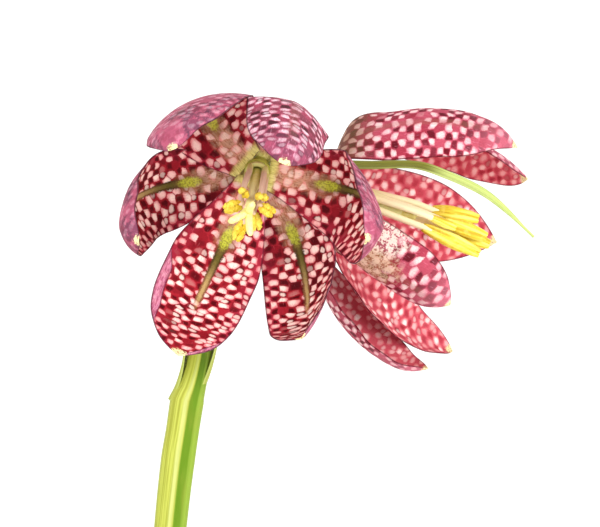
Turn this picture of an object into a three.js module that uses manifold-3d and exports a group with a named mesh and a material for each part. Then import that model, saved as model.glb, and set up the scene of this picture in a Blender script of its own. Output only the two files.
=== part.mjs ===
// Snake's head fritillary with two flowers on one broad stem, growing from a bulb in a plain clay pot.
// Millimetres, +Z up. The origin is the centre of the pot's base.
import * as THREE from 'three';
import { mergeVertices } from 'three/addons/utils/BufferGeometryUtils.js';
import Module from 'manifold-3d';

const wasm = await Module();
wasm.setup();

// Pot: a tapered wall under a plain rim band, with three drainage holes in the floor.
const POT_HEIGHT = 95;
const POT_BASE_RADIUS = 36;
const POT_SHOULDER_RADIUS = 49;
const RIM_RADIUS = 55;
const RIM_HEIGHT = 24;
const WALL = 5;
const FLOOR = 8;
const DRAIN_RADIUS = 4;
const DRAIN_CIRCLE = 17;
const POT_SIDES = 40;

// Soil, and the bulb under it.
const SOIL_LEVEL = 85;
const SOIL_MOUND = 1.3;
const BULB_BOTTOM = 40;
const BULB_HEIGHT = 16;
const BULB_RADIUS = 9.5;
const GAP = 0.3;

// Stem: centre, full width and full depth at each height.
const STEM = [
  { at: [0, 0, BULB_BOTTOM + BULB_HEIGHT + GAP], wide: 4.6, deep: 4.4 },
  { at: [0, 0, 72], wide: 5.4, deep: 4.6 },
  { at: [0, 0, 88], wide: 6.0, deep: 4.8 },
  { at: [0.9, 1.4, 112], wide: 6.2, deep: 4.7 },
  { at: [2.6, 4.6, 140], wide: 6.3, deep: 4.5 },
  { at: [5.2, 9.0, 172], wide: 6.5, deep: 4.3 },
  { at: [7.1, 12.0, 195], wide: 6.9, deep: 4.2 },
  { at: [8.6, 13.0, 208], wide: 7.2, deep: 4.3 },
  { at: [9.55, 13.2, 214], wide: 7.0, deep: 4.4 },
  { at: [10.25, 13.2, 218.6], wide: 7.1, deep: 4.6 },
  { at: [10.6, 13.2, 220.6], wide: 7.2, deep: 4.6 },
  { at: [11.5, 13.2, 223], wide: 6.0, deep: 4.3 },
  { at: [12.6, 13.2, 227], wide: 5.0, deep: 4.0 },
  { at: [13.5, 13.2, 231.5], wide: 4.8, deep: 3.9 },
  { at: [15.1, 13.1, 240], wide: 5.0, deep: 3.8 },
  { at: [17.0, 13.0, 250], wide: 5.2, deep: 3.7 },
  { at: [19.2, 13.0, 259], wide: 5.4, deep: 3.7 },
  { at: [20.6, 13.0, 264], wide: 5.0, deep: 3.4 },
];
const STEM_GROOVE = 0.24;
const STEM_SIDES = 14;
const PEDICEL_RADIUS = 1.7;

// Flowers: where each one sits, the way it faces, and its six petals in two whorls of three.
const BLADE = 0.72;
const INNER_RISE = 1.3;
const PETAL_ROOT = 2.2;
const RECEPTACLE_RADIUS = 2.6;
const RECEPTACLE_TOP = 2.4;
const CAMERA_UP = new THREE.Vector3(0, 0.0698, 0.9976);
const FLOWERS = {
  front: {
    at: new THREE.Vector3(26, -8, 270),
    axis: new THREE.Vector3(-0.05, -0.95, -0.309).normalize(),
    petals: [
      {
        azimuth: -51, inner: 1, base: -20, shoulder: 90, at: 15, over: 10, sweep: 26, curl: 51,
        lean: -35, veer: 20, twist: 9, width: 22.8,
      },
      {
        azimuth: 27.5, base: 9, shoulder: 78, at: 14.7, over: 14.5, sweep: 24, curl: 33, veer: -4, twist: 3,
        cup: 52, keel: 0.09, length: 40.3, width: 18.6,
      },
      {
        azimuth: -107, base: -13, shoulder: 83, at: 20.5, over: 22, sweep: 38, curl: 40,
        lean: -10, veer: -3, twist: -12, cup: 39, keel: 0.18, length: 46, width: 18,
      },
      {
        azimuth: -155, inner: 1, base: 19, shoulder: 34, at: 16.5, over: 7, sweep: 32, curl: -5,
        lean: -3.5, veer: 4, twist: 6, cup: 13, keel: 0.04, length: 46.6, width: 18.7,
      },
      {
        azimuth: 150.8, base: 8, shoulder: 55, at: 21.6, over: 21.6, sweep: 43, curl: -2,
        lean: -12, veer: 22.5, twist: 22, cup: 28.5, keel: 0.2, length: 47.3, width: 16.4,
      },
      {
        azimuth: 103, inner: 1, base: 2, shoulder: 69, at: 19, over: 15, sweep: 26, curl: 41,
        lean: 4.5, veer: 4, twist: 8, cup: 36, keel: 0.32, length: 44, width: 21,
      },
    ],
    anthers: [
      { from: [-1.5, 1.9, 19.6], to: [-0.9, 3.0, 22.8] },
      { from: [-1.8, -0.1, 20.6], to: [-5.0, -0.5, 22.3] },
      { from: [1.75, 1.1, 19.8], to: [2.7, 2.1, 22.6] },
      { from: [1.9, -0.4, 20.6], to: [4.5, -1.6, 22.2] },
      { from: [-1.3, -3.6, 20.4], to: [-3.1, -7.0, 22.0] },
      { from: [0.5, -1.9, 20.4], to: [1.2, -4.9, 22.0] },
    ],
    antherRadius: 1.1,
    style: { bend: [-0.1, 0.2], length: 25, arms: [[-3.5, -1.0], [0.5, -3.8], [1.2, 2.8]] },
  },
  side: {
    at: new THREE.Vector3(40.19, 22, 265.41),
    axis: new THREE.Vector3(0.935, -0.025, -0.354).normalize(),
    petals: [
      {
        azimuth: -46, base: -3.2, shoulder: 55, at: 11.8, over: 8, sweep: 34, curl: 35,
        lean: -13.8, veer: 7.7, twist: 6.8, cup: 35, length: 50.2, width: 18.8, point: 0.95,
      },
      {
        azimuth: 24.7, inner: 1, base: 0.3, shoulder: 74.5, at: 15.7, over: 10, sweep: 31, curl: 4,
        lean: 6, veer: -3.5, twist: -2, cup: 46, keel: 0.08, length: 54.8, width: 20.4, point: 0.54,
      },
      {
        azimuth: 98.6, base: 3.3, shoulder: 69, at: 12.5, over: 9, sweep: 16.2, curl: 10,
        lean: 14.7, veer: -7, twist: -8.9, cup: 14.4, length: 52.5, width: 20.3, point: 0.95,
      },
      {
        azimuth: 134, inner: 1, base: 5.7, shoulder: 40, at: 7, over: 7.5, sweep: 31, curl: 6,
        lean: -20, veer: 25, twist: 0.3, cup: 36, length: 50.8, width: 17.4, point: 0.74,
      },
      {
        azimuth: 160, base: 3, shoulder: 32, at: 11, over: 9, sweep: 56, curl: 36,
        lean: -12, veer: -5, twist: 8, cup: 41, keel: 0.08, length: 52.5, width: 20.5, point: 0.7,
      },
      {
        azimuth: 224.4, inner: 1, base: 1, shoulder: 79.6, at: 9.2, over: 5.9, sweep: 9.1, curl: 42.8,
        lean: 15.4, veer: 8.5, twist: -13.2, cup: 48.2, keel: 0.08, length: 42.8, width: 17.7,
      },
    ],
    anthers: [
      { from: [1.0, 3.3, 22.9], to: [1.0, 5.0, 33.0] },
      { from: [-2.7, 1.5, 22.6], to: [-2.9, 1.2, 28.9], thin: 0.62 },
      { from: [-0.7, 1.8, 26.0], to: [-0.3, 1.9, 35.9] },
      { from: [1.6, 0.3, 27.6], to: [1.6, 0.7, 37.2] },
      { from: [-1.9, -1.0, 22.2], to: [-1.6, -2.0, 35.6] },
      { from: [3.2, 0.3, 24.0], to: [3.8, 1.0, 34.6] },
    ],
    antherRadius: 1.5,
    style: { bend: [0, 0], length: 17, arms: [[-0.7, 0.8], [0.9, 0.2], [0.1, -0.9]] },
  },
};
const PETAL = {
  length: 43, width: 19, inner: 0, base: 5, shoulder: 80, at: 10, over: 9, sweep: 12, curl: 25,
  lean: 0, veer: 0, twist: 0, cup: 34, keel: 0, point: 0.62,
};
const PETAL_ROWS = 12;
const PETAL_COLUMNS = 8;

// Leaves: where each clasps the stem, the side it leaves by, and its course as [out, up, aside].
const LEAVES = {
  leaf_lower_left: {
    foot: 100, side: 188, width: 8.4,
    course: [[0, 0, 0], [0, 9, 0], [4, 24, 0], [15, 45, -2], [33, 60, -5], [55, 62, -8], [74, 50, -10], [86, 33, -11]],
  },
  leaf_lower_right: {
    foot: 114, side: 352, width: 8.0,
    course: [[0, 0, 0], [0, 9, 0], [4, 23, 0], [14, 42, 2], [31, 55, 5], [52, 57, 9], [71, 47, 13]],
  },
  leaf_lower_back: {
    foot: 130, side: 176, width: 7.4,
    course: [[0, 0, 0], [0, 8, 0], [3, 18, -3], [9, 30, -13], [18, 39, -28], [28, 41, -45], [37, 35, -61]],
  },
  leaf_lower_front: {
    foot: 146, side: 4, width: 7.0,
    course: [[0, 0, 0], [0, 8, 0], [3, 17, -3], [10, 28, -13], [20, 34, -28], [31, 34, -43], [41, 27, -57]],
  },
  leaf_middle_left: {
    foot: 220.3, side: 160, width: 5.6,
    course: [
      [1.6, 0, 0], [1.1, 3, 0], [0.7, 7, 0], [0.6, 12, 0], [0.6, 16, -0.6], [1.6, 24, -4.5], [2, 35, -13.6],
      [2.7, 46, -23.5],
    ],
  },
  leaf_middle_right: {
    foot: 225.5, side: 18, width: 5.4,
    course: [[1, 0, 0], [0.75, 4, 0], [0.7, 9, 0], [0.9, 15, 0.2], [2.6, 23, 5.4], [5, 34, 13.2], [7.7, 45, 21.7]],
  },
};
const UPPER_LEAF = {
  width: 4.2,
  course: [
    [22.5, 12.2, 259.4], [24.9, 11.2, 264.4], [29.6, 8.6, 268.2], [37, 4.6, 270.1], [48.8, -0.9, 270.1],
    [58.3, -3.6, 270.1], [63.8, -5.2, 268.3], [71.1, -8.4, 264.8], [75.7, -10.2, 261.3], [80.8, -12, 256.4],
  ],
};
const LEAF_BLADE = 0.7;

const COLOURS = {
  clay: 0xb5654a, soil: 0x3a2a20, bulb: 0xe6dcc0, stem: 0x6f8a3c, leaf: 0x7f9a4a,
  petal: 0x9c3a52, stamen: 0xf2d338, pistil: 0xd8dc8e,
};

// Numbers and vectors.
const degrees = (angle) => angle * Math.PI / 180;
const clamp = (x) => Math.min(1, Math.max(0, x));
const smooth = (from, to, x) => {
  const t = clamp((x - from) / (to - from));
  return t * t * (3 - 2 * t);
};
const point = (values) => new THREE.Vector3(...values);

// Turns a list of points and triangles into a geometry whose faces point out.
function closedGeometry(points, triangles) {
  let volume = 0;
  for (const [a, b, c] of triangles) {
    volume += points[a].dot(points[b].clone().cross(points[c]));
  }
  const geometry = new THREE.BufferGeometry();
  const index = triangles.flatMap(([a, b, c]) => (volume < 0 ? [a, c, b] : [a, b, c]));
  geometry.setAttribute('position', new THREE.Float32BufferAttribute(points.flatMap((p) => [p.x, p.y, p.z]), 3));
  geometry.setIndex(index);
  return geometry;
}

// A thin closed blade over a grid of points, with both faces split alike.
function blade(grid, thickness) {
  const rows = grid.length;
  const columns = grid[0].length;
  const points = [];
  const half = thickness / 2;
  for (const side of [1, -1]) {
    for (let i = 0; i < rows; i += 1) {
      for (let j = 0; j < columns; j += 1) {
        const along = grid[Math.min(i + 1, rows - 1)][j].clone().sub(grid[Math.max(i - 1, 0)][j]);
        const across = grid[i][Math.min(j + 1, columns - 1)].clone().sub(grid[i][Math.max(j - 1, 0)]);
        const normal = along.cross(across).normalize();
        points.push(grid[i][j].clone().addScaledVector(normal, side * half));
      }
    }
  }
  const top = (i, j) => i * columns + j;
  const under = (i, j) => rows * columns + i * columns + j;
  const triangles = [];
  const middle = (columns - 1) / 2;
  for (let i = 0; i < rows - 1; i += 1) {
    for (let j = 0; j < columns - 1; j += 1) {
      const [p, q, r, s] = [[i, j], [i + 1, j], [i + 1, j + 1], [i, j + 1]];
      const halves = j < middle ? [[p, q, r], [p, r, s]] : [[p, q, s], [q, r, s]];
      for (const [a, b, c] of halves) {
        triangles.push([top(...a), top(...b), top(...c)]);
        triangles.push([under(...a), under(...c), under(...b)]);
      }
    }
  }
  const rim = [];
  for (let j = 0; j < columns - 1; j += 1) rim.push([0, j]);
  for (let i = 0; i < rows - 1; i += 1) rim.push([i, columns - 1]);
  for (let j = columns - 1; j > 0; j -= 1) rim.push([rows - 1, j]);
  for (let i = rows - 1; i > 0; i -= 1) rim.push([i, 0]);
  rim.forEach((a, k) => {
    const b = rim[(k + 1) % rim.length];
    triangles.push([top(...a), top(...b), under(...b)]);
    triangles.push([top(...a), under(...b), under(...a)]);
  });
  return closedGeometry(points, triangles);
}

// A closed loft through rings of points, with a flat cap at each end.
function loft(rings) {
  const sides = rings[0].length;
  const points = rings.flat();
  const triangles = [];
  for (let i = 0; i < rings.length - 1; i += 1) {
    for (let j = 0; j < sides; j += 1) {
      const k = (j + 1) % sides;
      const [a, b, c, d] = [i * sides + j, i * sides + k, (i + 1) * sides + k, (i + 1) * sides + j];
      triangles.push([a, b, c], [a, c, d]);
    }
  }
  for (const [start, flip] of [[0, true], [(rings.length - 1) * sides, false]]) {
    const centre = points.length;
    const middle = new THREE.Vector3();
    for (let j = 0; j < sides; j += 1) middle.add(points[start + j]);
    points.push(middle.divideScalar(sides));
    for (let j = 0; j < sides; j += 1) {
      const k = (j + 1) % sides;
      triangles.push(flip ? [centre, start + k, start + j] : [centre, start + j, start + k]);
    }
  }
  return closedGeometry(points, triangles);
}

// A round tube through points, whose radius follows the share of its length.
function tube(course, radius, steps, sides) {
  const curve = new THREE.CatmullRomCurve3(course, false, 'centripetal');
  let across = null;
  const rings = [];
  for (let i = 0; i <= steps; i += 1) {
    const t = i / steps;
    const centre = curve.getPointAt(t);
    const along = curve.getTangentAt(t);
    if (!across) across = Math.abs(along.x) < 0.8 ? new THREE.Vector3(1, 0, 0) : new THREE.Vector3(0, 1, 0);
    across = across.clone().addScaledVector(along, -across.dot(along)).normalize();
    const other = along.clone().cross(across);
    const ring = [];
    for (let j = 0; j < sides; j += 1) {
      const angle = 2 * Math.PI * j / sides;
      ring.push(centre.clone()
        .addScaledVector(across, radius(t) * Math.cos(angle))
        .addScaledVector(other, radius(t) * Math.sin(angle)));
    }
    rings.push(ring);
  }
  return loft(rings);
}

// A turned solid whose profile is a list of [radius, height], set along an axis from a point.
function turned(profile, sides, at, axis) {
  const geometry = new THREE.LatheGeometry(profile.map(([r, h]) => new THREE.Vector2(r, h)), sides);
  geometry.applyQuaternion(new THREE.Quaternion().setFromUnitVectors(new THREE.Vector3(0, 1, 0), axis));
  geometry.translate(at.x, at.y, at.z);
  return geometry;
}

// Closed solids for cutting and joining, and back to a geometry.
function solid(geometry) {
  const bare = new THREE.BufferGeometry();
  bare.setAttribute('position', geometry.getAttribute('position').clone());
  if (geometry.index) bare.setIndex(geometry.index.clone());
  const merged = mergeVertices(bare, 1e-4);
  const corners = merged.index.array;
  const triangles = [];
  for (let i = 0; i < corners.length; i += 3) {
    const [a, b, c] = [corners[i], corners[i + 1], corners[i + 2]];
    if (a !== b && b !== c && a !== c) triangles.push(a, b, c);
  }
  return new wasm.Manifold(new wasm.Mesh({
    numProp: 3,
    vertProperties: new Float32Array(merged.getAttribute('position').array),
    triVerts: new Uint32Array(triangles),
  }));
}

function largest(body) {
  return body.decompose().sort((a, b) => b.volume() - a.volume())[0];
}

function geometryOf(body, tolerance = 0.01) {
  const mesh = body.simplify(tolerance).getMesh();
  const geometry = new THREE.BufferGeometry();
  geometry.setAttribute('position', new THREE.BufferAttribute(new Float32Array(mesh.vertProperties), 3));
  geometry.setIndex(new THREE.BufferAttribute(new Uint32Array(mesh.triVerts), 1));
  return geometry;
}

// Half the width of a petal at a share of its length. A higher point makes a sharper tip.
function petalHalfWidth(t, width, point) {
  const base = 0.30 + 0.70 * smooth(-0.08, 0.42, t);
  const x = Math.max(0, (t - 0.52) / 0.48);
  const tip = Math.max(0, 1 - x ** 2.6) ** point;
  return Math.max(0.55, width / 2 * base * tip);
}

// The grid of a petal's middle surface: a centreline that bends from its root, carrying cupped rows.
function petalGrid(flower, petal, extra = 0) {
  const p = { ...PETAL, ...petal };
  const axis = flower.axis;
  const up = CAMERA_UP.clone().addScaledVector(axis, -CAMERA_UP.dot(axis)).normalize();
  const side = up.clone().cross(axis);
  const azimuth = degrees(p.azimuth);
  let along = up.multiplyScalar(Math.cos(azimuth)).addScaledVector(side, Math.sin(azimuth));
  const centre = flower.at.clone().addScaledVector(along, PETAL_ROOT).addScaledVector(axis, p.inner ? INNER_RISE : 0);
  let inward = axis.clone();
  let across = along.clone().cross(inward);
  along = along.applyAxisAngle(across, degrees(p.base));
  inward = inward.applyAxisAngle(across, degrees(p.base));
  const steps = 6;
  const last = { bend: 0, lean: 0, twist: 0 };
  const grid = [];
  const rootward = along.clone().negate();
  let travelled = 0;
  for (let i = 0; i <= PETAL_ROWS * steps; i += 1) {
    const share = i / (PETAL_ROWS * steps);
    const s = p.length * (1 - (1 - share) ** 1.25);
    const t = s / p.length;
    centre.addScaledVector(along, s - travelled);
    travelled = s;
    const bend = degrees(p.shoulder * smooth(p.at - p.over / 2, p.at + p.over / 2, s)
      + p.sweep * smooth(p.at, p.length, s) + p.curl * smooth(0.82, 1.02, t));
    const lean = degrees(p.lean * smooth(0.04, 0.45, t) + p.veer * smooth(0.45, 0.9, t));
    const twist = degrees(p.twist * smooth(0.1, 0.9, t));
    along.applyAxisAngle(across, bend - last.bend);
    inward.applyAxisAngle(across, bend - last.bend);
    along.applyAxisAngle(inward, lean - last.lean);
    across.applyAxisAngle(inward, lean - last.lean);
    inward.applyAxisAngle(along, twist - last.twist);
    across.applyAxisAngle(along, twist - last.twist);
    Object.assign(last, { bend, lean, twist });
    if (i % steps) continue;
    const half = petalHalfWidth(t, p.width, p.point);
    const gather = p.inner ? 0.35 + 0.65 * smooth(0.05, 0.55, t) : 0.05 + 0.95 * smooth(0.15, 0.6, t);
    const cup = degrees(p.cup) * gather;
    const radius = half / cup;
    const row = [];
    for (let j = 0; j <= PETAL_COLUMNS; j += 1) {
      const v = 2 * j / PETAL_COLUMNS - 1;
      const reach = (half + extra) / half;
      const x = radius * Math.sin(cup * v) * reach;
      const y = radius * (1 - Math.cos(cup * v)) + p.keel * Math.abs(v) * half * smooth(0.1, 0.5, t);
      row.push(centre.clone().addScaledVector(across, x).addScaledVector(inward, y));
    }
    grid.push(row);
  }
  if (extra) {
    grid.push(grid[grid.length - 1].map((corner) => corner.clone().addScaledVector(along, extra)));
    grid.unshift(grid[0].map((corner) => corner.clone().addScaledVector(rootward, 2)));
  }
  return grid;
}

// Frame of a flower: a point given across, up and forward of its centre.
function inFlower(flower, across, up, forward) {
  const axis = flower.axis;
  const lift = CAMERA_UP.clone().addScaledVector(axis, -CAMERA_UP.dot(axis)).normalize();
  const side = lift.clone().cross(axis);
  return flower.at.clone().addScaledVector(side, across).addScaledVector(lift, up).addScaledVector(axis, forward);
}

const FILAMENT_FOOT = 1.95;
const FILAMENT_CLEAR = 2.1;
function stamens(flower) {
  const foot = RECEPTACLE_TOP + GAP;
  const ring = turned([[1.5, 0], [2.4, 0], [2.4, 0.9], [1.5, 0.9], [1.5, 0]], 16, inFlower(flower, 0, 0, foot), flower.axis);
  let body = solid(ring);
  flower.anthers.forEach(({ from, to, thin = 1 }) => {
    const angle = Math.atan2(from[1], from[0]);
    const aim = (radius) => [radius * Math.cos(angle), radius * Math.sin(angle)];
    const wide = Math.max(FILAMENT_CLEAR, Math.hypot(from[0], from[1]));
    const course = [
      inFlower(flower, ...aim(FILAMENT_FOOT), foot + 0.3),
      inFlower(flower, ...aim(FILAMENT_FOOT), foot + 3),
      inFlower(flower, ...aim(wide * 0.4 + FILAMENT_FOOT * 0.6), from[2] * 0.5),
      inFlower(flower, ...aim(wide), from[2] * 0.82),
      inFlower(flower, ...from),
      inFlower(flower, ...from.map((x, k) => x + (to[k] - x) * 0.15)),
    ];
    body = body.add(solid(tube(course, (t) => 0.6 - 0.1 * t, 6, 5)));
    const middle = from.map((x, k) => (x + to[k]) / 2);
    const lobes = [inFlower(flower, ...from), inFlower(flower, ...middle), inFlower(flower, ...to)];
    const swell = (t) => flower.antherRadius * thin * Math.max(0.3, Math.sin(Math.PI * clamp(0.06 + 0.88 * t)) ** 0.5);
    body = body.add(solid(tube(lobes, swell, 5, 6)));
  });
  return geometryOf(largest(body), 0.05);
}

function pistil(flower) {
  const foot = RECEPTACLE_TOP + GAP;
  const { bend, length, arms } = flower.style;
  const fork = [bend[0], bend[1], length];
  const course = [
    inFlower(flower, 0, 0, foot),
    inFlower(flower, 0, 0, foot + 4),
    inFlower(flower, bend[0] * 0.35, bend[1] * 0.35, length * 0.6),
    inFlower(flower, ...fork),
  ];
  const girth = (t) => 1.1 - 0.3 * smooth(0.3, 0.45, t) + 0.1 * smooth(0.7, 1, t);
  let body = solid(tube(course, girth, 8, 8));
  arms.forEach(([x, y]) => {
    const arm = [
      inFlower(flower, fork[0], fork[1], length - 1.2),
      inFlower(flower, fork[0] + x * 0.35, fork[1] + y * 0.35, length + 1.6),
      inFlower(flower, fork[0] + x, fork[1] + y, length + 3.2),
    ];
    body = body.add(solid(tube(arm, (t) => 0.72 - 0.12 * t, 4, 6)));
  });
  return geometryOf(largest(body));
}

function receptacle(flower, grow = 0) {
  const r = RECEPTACLE_RADIUS + grow;
  const top = RECEPTACLE_TOP + grow;
  const profile = [[0, -5 - grow], [1.4 + grow, -5 - grow], [1.9 + grow, -3], [r, -1.2], [r, top - 0.3], [r - 0.3, top], [0, top]];
  return turned(profile, 18, flower.at, flower.axis);
}

// The stem's centre, width and depth at a height.
const stemCurve = new THREE.CatmullRomCurve3(STEM.map((ring) => point(ring.at)), false, 'centripetal');
function stemAt(height) {
  let [low, high] = [0, 1];
  for (let i = 0; i < 40; i += 1) {
    const middle = (low + high) / 2;
    if (stemCurve.getPoint(middle).z < height) low = middle;
    else high = middle;
  }
  return stemCurve.getPoint(low);
}

function stemRings(grow = 0) {
  const rings = [];
  const steps = 2;
  const count = STEM.length - 1;
  for (let i = 0; i <= count * steps; i += 1) {
    const t = i / (count * steps);
    const k = Math.min(count - 1, Math.floor(i / steps));
    const share = smooth(0, 1, i / steps - k);
    const wide = THREE.MathUtils.lerp(STEM[k].wide, STEM[k + 1].wide, share) / 2 + grow;
    const deep = THREE.MathUtils.lerp(STEM[k].deep, STEM[k + 1].deep, share) / 2 + grow;
    const centre = stemCurve.getPoint(t);
    const along = stemCurve.getTangent(t);
    const across = new THREE.Vector3(1, 0, 0).addScaledVector(along, -along.x).normalize();
    const back = along.clone().cross(across);
    const groove = grow ? 0 : STEM_GROOVE * smooth(90, 130, centre.z);
    const ring = [];
    for (let j = 0; j < STEM_SIDES; j += 1) {
      const angle = 2 * Math.PI * j / STEM_SIDES;
      const dip = 1 - groove * Math.exp(-((Math.cos(angle) / 0.3) ** 2));
      ring.push(centre.clone()
        .addScaledVector(across, wide * Math.cos(angle))
        .addScaledVector(back, deep * Math.sin(angle) * dip));
    }
    rings.push(ring);
  }
  return rings;
}

function pedicels(grow = 0) {
  const { front, side } = FLOWERS;
  const toFront = [
    point([20.0, 13, 258]), point([20.9, 13.6, 265.5]), point([23.2, 13.2, 272.4]), point([25.6, 9.2, 275.6]),
    front.at.clone().addScaledVector(front.axis, -9), front.at.clone().addScaledVector(front.axis, -3),
  ];
  const toSide = [
    point([19.6, 13, 257.5]), point([22.0, 14.4, 264.0]), point([25.6, 17.6, 269.2]), point([31, 20.6, 270.2]),
    side.at.clone().addScaledVector(side.axis, -6), side.at.clone().addScaledVector(side.axis, -3),
  ];
  return [toFront, toSide].map((course) => solid(tube(course, () => PEDICEL_RADIUS + grow, 10, 10)));
}

// A leaf: its centreline, the direction its upper face looks at the foot, and its width and fold.
function leafGrid(course, inward, width, fold, sheath, full = 0.35) {
  const curve = new THREE.CatmullRomCurve3(course, false, 'centripetal');
  const rows = 14;
  const columns = 4;
  let facing = inward.clone();
  const grid = [];
  for (let i = 0; i <= rows; i += 1) {
    const t = i / rows;
    const centre = curve.getPointAt(t);
    const along = curve.getTangentAt(t);
    facing = facing.addScaledVector(along, -facing.dot(along)).normalize();
    const across = along.clone().cross(facing);
    const taper = 1 - smooth(full, 1.02, t) ** 1.3;
    const half = Math.max(0.5, width / 2 * (0.86 + 0.14 * smooth(0, 0.25, t)) * taper);
    const cup = degrees(fold + (sheath - fold) * (1 - smooth(0.03, 0.3, t)));
    const radius = half / cup;
    const row = [];
    for (let j = 0; j <= columns; j += 1) {
      const angle = cup * (2 * j / columns - 1);
      row.push(centre.clone()
        .addScaledVector(across, radius * Math.sin(angle))
        .addScaledVector(facing, radius * (1 - Math.cos(angle))));
    }
    grid.push(row);
    facing = facing.clone();
  }
  return grid;
}

function stemLeaf({ foot, side, width, course }) {
  const centre = stemAt(foot);
  const angle = degrees(side);
  const out = new THREE.Vector3(Math.cos(angle), Math.sin(angle), 0);
  const aside = new THREE.Vector3(-Math.sin(angle), Math.cos(angle), 0);
  const sheath = 62;
  const clasp = (width / 2 * 0.86) / degrees(sheath);
  const points = course.map(([o, u, a]) => {
    const onStem = stemAt(foot + Math.min(u, 24)).sub(stemAt(foot)).setZ(0);
    return centre.clone().add(onStem).addScaledVector(out, o + clasp + 0.15)
      .addScaledVector(aside, a).add(new THREE.Vector3(0, 0, u));
  });
  return blade(leafGrid(points, out.clone().negate(), width, 14, sheath), LEAF_BLADE);
}

// Pot, soil and bulb.
const Z = new THREE.Vector3(0, 0, 1);
function potGeometry() {
  const neck = POT_HEIGHT - RIM_HEIGHT;
  const profile = [
    [0, 0], [POT_BASE_RADIUS - 1, 0], [POT_BASE_RADIUS, 1.2], [POT_SHOULDER_RADIUS, neck], [RIM_RADIUS - 1.4, neck],
    [RIM_RADIUS - 1, neck + 1], [RIM_RADIUS, POT_HEIGHT - 1.6], [RIM_RADIUS - 1.4, POT_HEIGHT],
    [RIM_RADIUS - WALL + 0.4, POT_HEIGHT], [RIM_RADIUS - WALL - 0.6, POT_HEIGHT - 1.2], [RIM_RADIUS - WALL - 1.6, neck + 2],
    [POT_SHOULDER_RADIUS - WALL, neck - 4], [POT_BASE_RADIUS - WALL + 1.6, FLOOR + 2.5], [POT_BASE_RADIUS - WALL - 1, FLOOR], [0, FLOOR],
  ];
  let body = solid(turned(profile, POT_SIDES, new THREE.Vector3(), Z));
  for (let k = 0; k < 3; k += 1) {
    const angle = degrees(30 + 120 * k);
    const at = new THREE.Vector3(DRAIN_CIRCLE * Math.cos(angle), DRAIN_CIRCLE * Math.sin(angle), -2);
    const drill = [[0, 0], [DRAIN_RADIUS, 0], [DRAIN_RADIUS, FLOOR + 4], [0, FLOOR + 4]];
    body = body.subtract(solid(turned(drill, 20, at, Z)));
  }
  return geometryOf(body);
}

const BULB_PROFILE = [[0, 0], [3.2, 0], [4.6, 0.8], [7.6, 2.6], [9.5, 6.4], [9.1, 9.6], [6.8, 12.9], [4.2, 15.0], [2.6, 16], [0, 16]];
function bulbGeometry(grow = 0) {
  const scale = BULB_RADIUS / 9.5;
  const tall = BULB_HEIGHT / 16;
  const profile = BULB_PROFILE.map(([r, h], i) => {
    const rise = i === 0 || i === 1 ? -grow : i >= BULB_PROFILE.length - 2 ? grow : 0;
    return [r === 0 ? 0 : r * scale + grow, h * tall + rise];
  });
  const geometry = turned(profile, 22, new THREE.Vector3(0, 0, BULB_BOTTOM), Z);
  if (!grow) {
    // The two fleshy scales meet in a shallow seam down each side.
    const position = geometry.getAttribute('position');
    for (let i = 0; i < position.count; i += 1) {
      const angle = Math.atan2(position.getY(i), position.getX(i));
      const seam = 1 - 0.07 * Math.exp(-((Math.cos(angle) / 0.22) ** 2));
      position.setXY(i, position.getX(i) * seam, position.getY(i) * seam);
    }
  }
  return geometry;
}

function soilGeometry() {
  const neck = POT_HEIGHT - RIM_HEIGHT;
  const wall = [
    [POT_BASE_RADIUS - WALL - 1.6, FLOOR + GAP], [POT_BASE_RADIUS - WALL + 1.2, FLOOR + 2.7],
    [POT_SHOULDER_RADIUS - WALL - 0.4, neck - 4], [RIM_RADIUS - WALL - 2.0, neck + 2],
    [RIM_RADIUS - WALL - 1.35, SOIL_LEVEL - 0.6],
  ];
  const sides = 28;
  const ring = (r, z) => Array.from({ length: sides }, (_, j) => {
    const angle = 2 * Math.PI * j / sides;
    const crumbs = 0.55 * Math.sin(3 * angle + r * 0.31) * Math.sin(r * 0.23 + 1.7) + 0.4 * Math.sin(7 * angle - r * 0.5);
    const inside = r < RIM_RADIUS - WALL - 1.5 && z === null;
    const mound = SOIL_MOUND * (1 - (r / 48) ** 2) + (inside ? crumbs * smooth(3, 12, r) : 0);
    return new THREE.Vector3(r * Math.cos(angle), r * Math.sin(angle), z === null ? SOIL_LEVEL + mound : z);
  });
  const rings = [ring(8, FLOOR + GAP), ...wall.map(([r, z]) => ring(r, z))];
  for (const r of [42, 31, 20, 9]) rings.push(ring(r, null));
  let body = solid(loft(rings));
  body = body.subtract(solid(bulbGeometry(0.4)));
  const hole = STEM[2].wide / 2 + GAP + 0.05;
  const shaft = [[0, 0], [hole, 0], [hole, 60], [0, 60]];
  return geometryOf(body.subtract(solid(turned(shaft, 24, new THREE.Vector3(0, 0, BULB_BOTTOM + BULB_HEIGHT - 2), Z))));
}

// The plant and its pot, one named mesh for each piece.
const plant = new THREE.Group();
function place(name, geometry, colour, roughness) {
  const material = new THREE.MeshStandardMaterial({ color: colour, roughness, metalness: 0 });
  const mesh = new THREE.Mesh(geometry, material);
  mesh.name = name;
  plant.add(mesh);
}

place('pot', potGeometry(), COLOURS.clay, 0.85);
place('soil', soilGeometry(), COLOURS.soil, 0.95);
place('bulb', bulbGeometry(), COLOURS.bulb, 0.6);

let stem = solid(loft(stemRings()));
let stemRoom = solid(loft(stemRings(GAP)));
for (const body of pedicels()) stem = stem.add(body);
for (const body of pedicels(GAP)) stemRoom = stemRoom.add(body);
for (const flower of Object.values(FLOWERS)) {
  stem = stem.add(solid(receptacle(flower)));
  stemRoom = stemRoom.add(solid(receptacle(flower, GAP)));
}
place('stem', geometryOf(largest(stem), 0.04), COLOURS.stem, 0.45);

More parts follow.
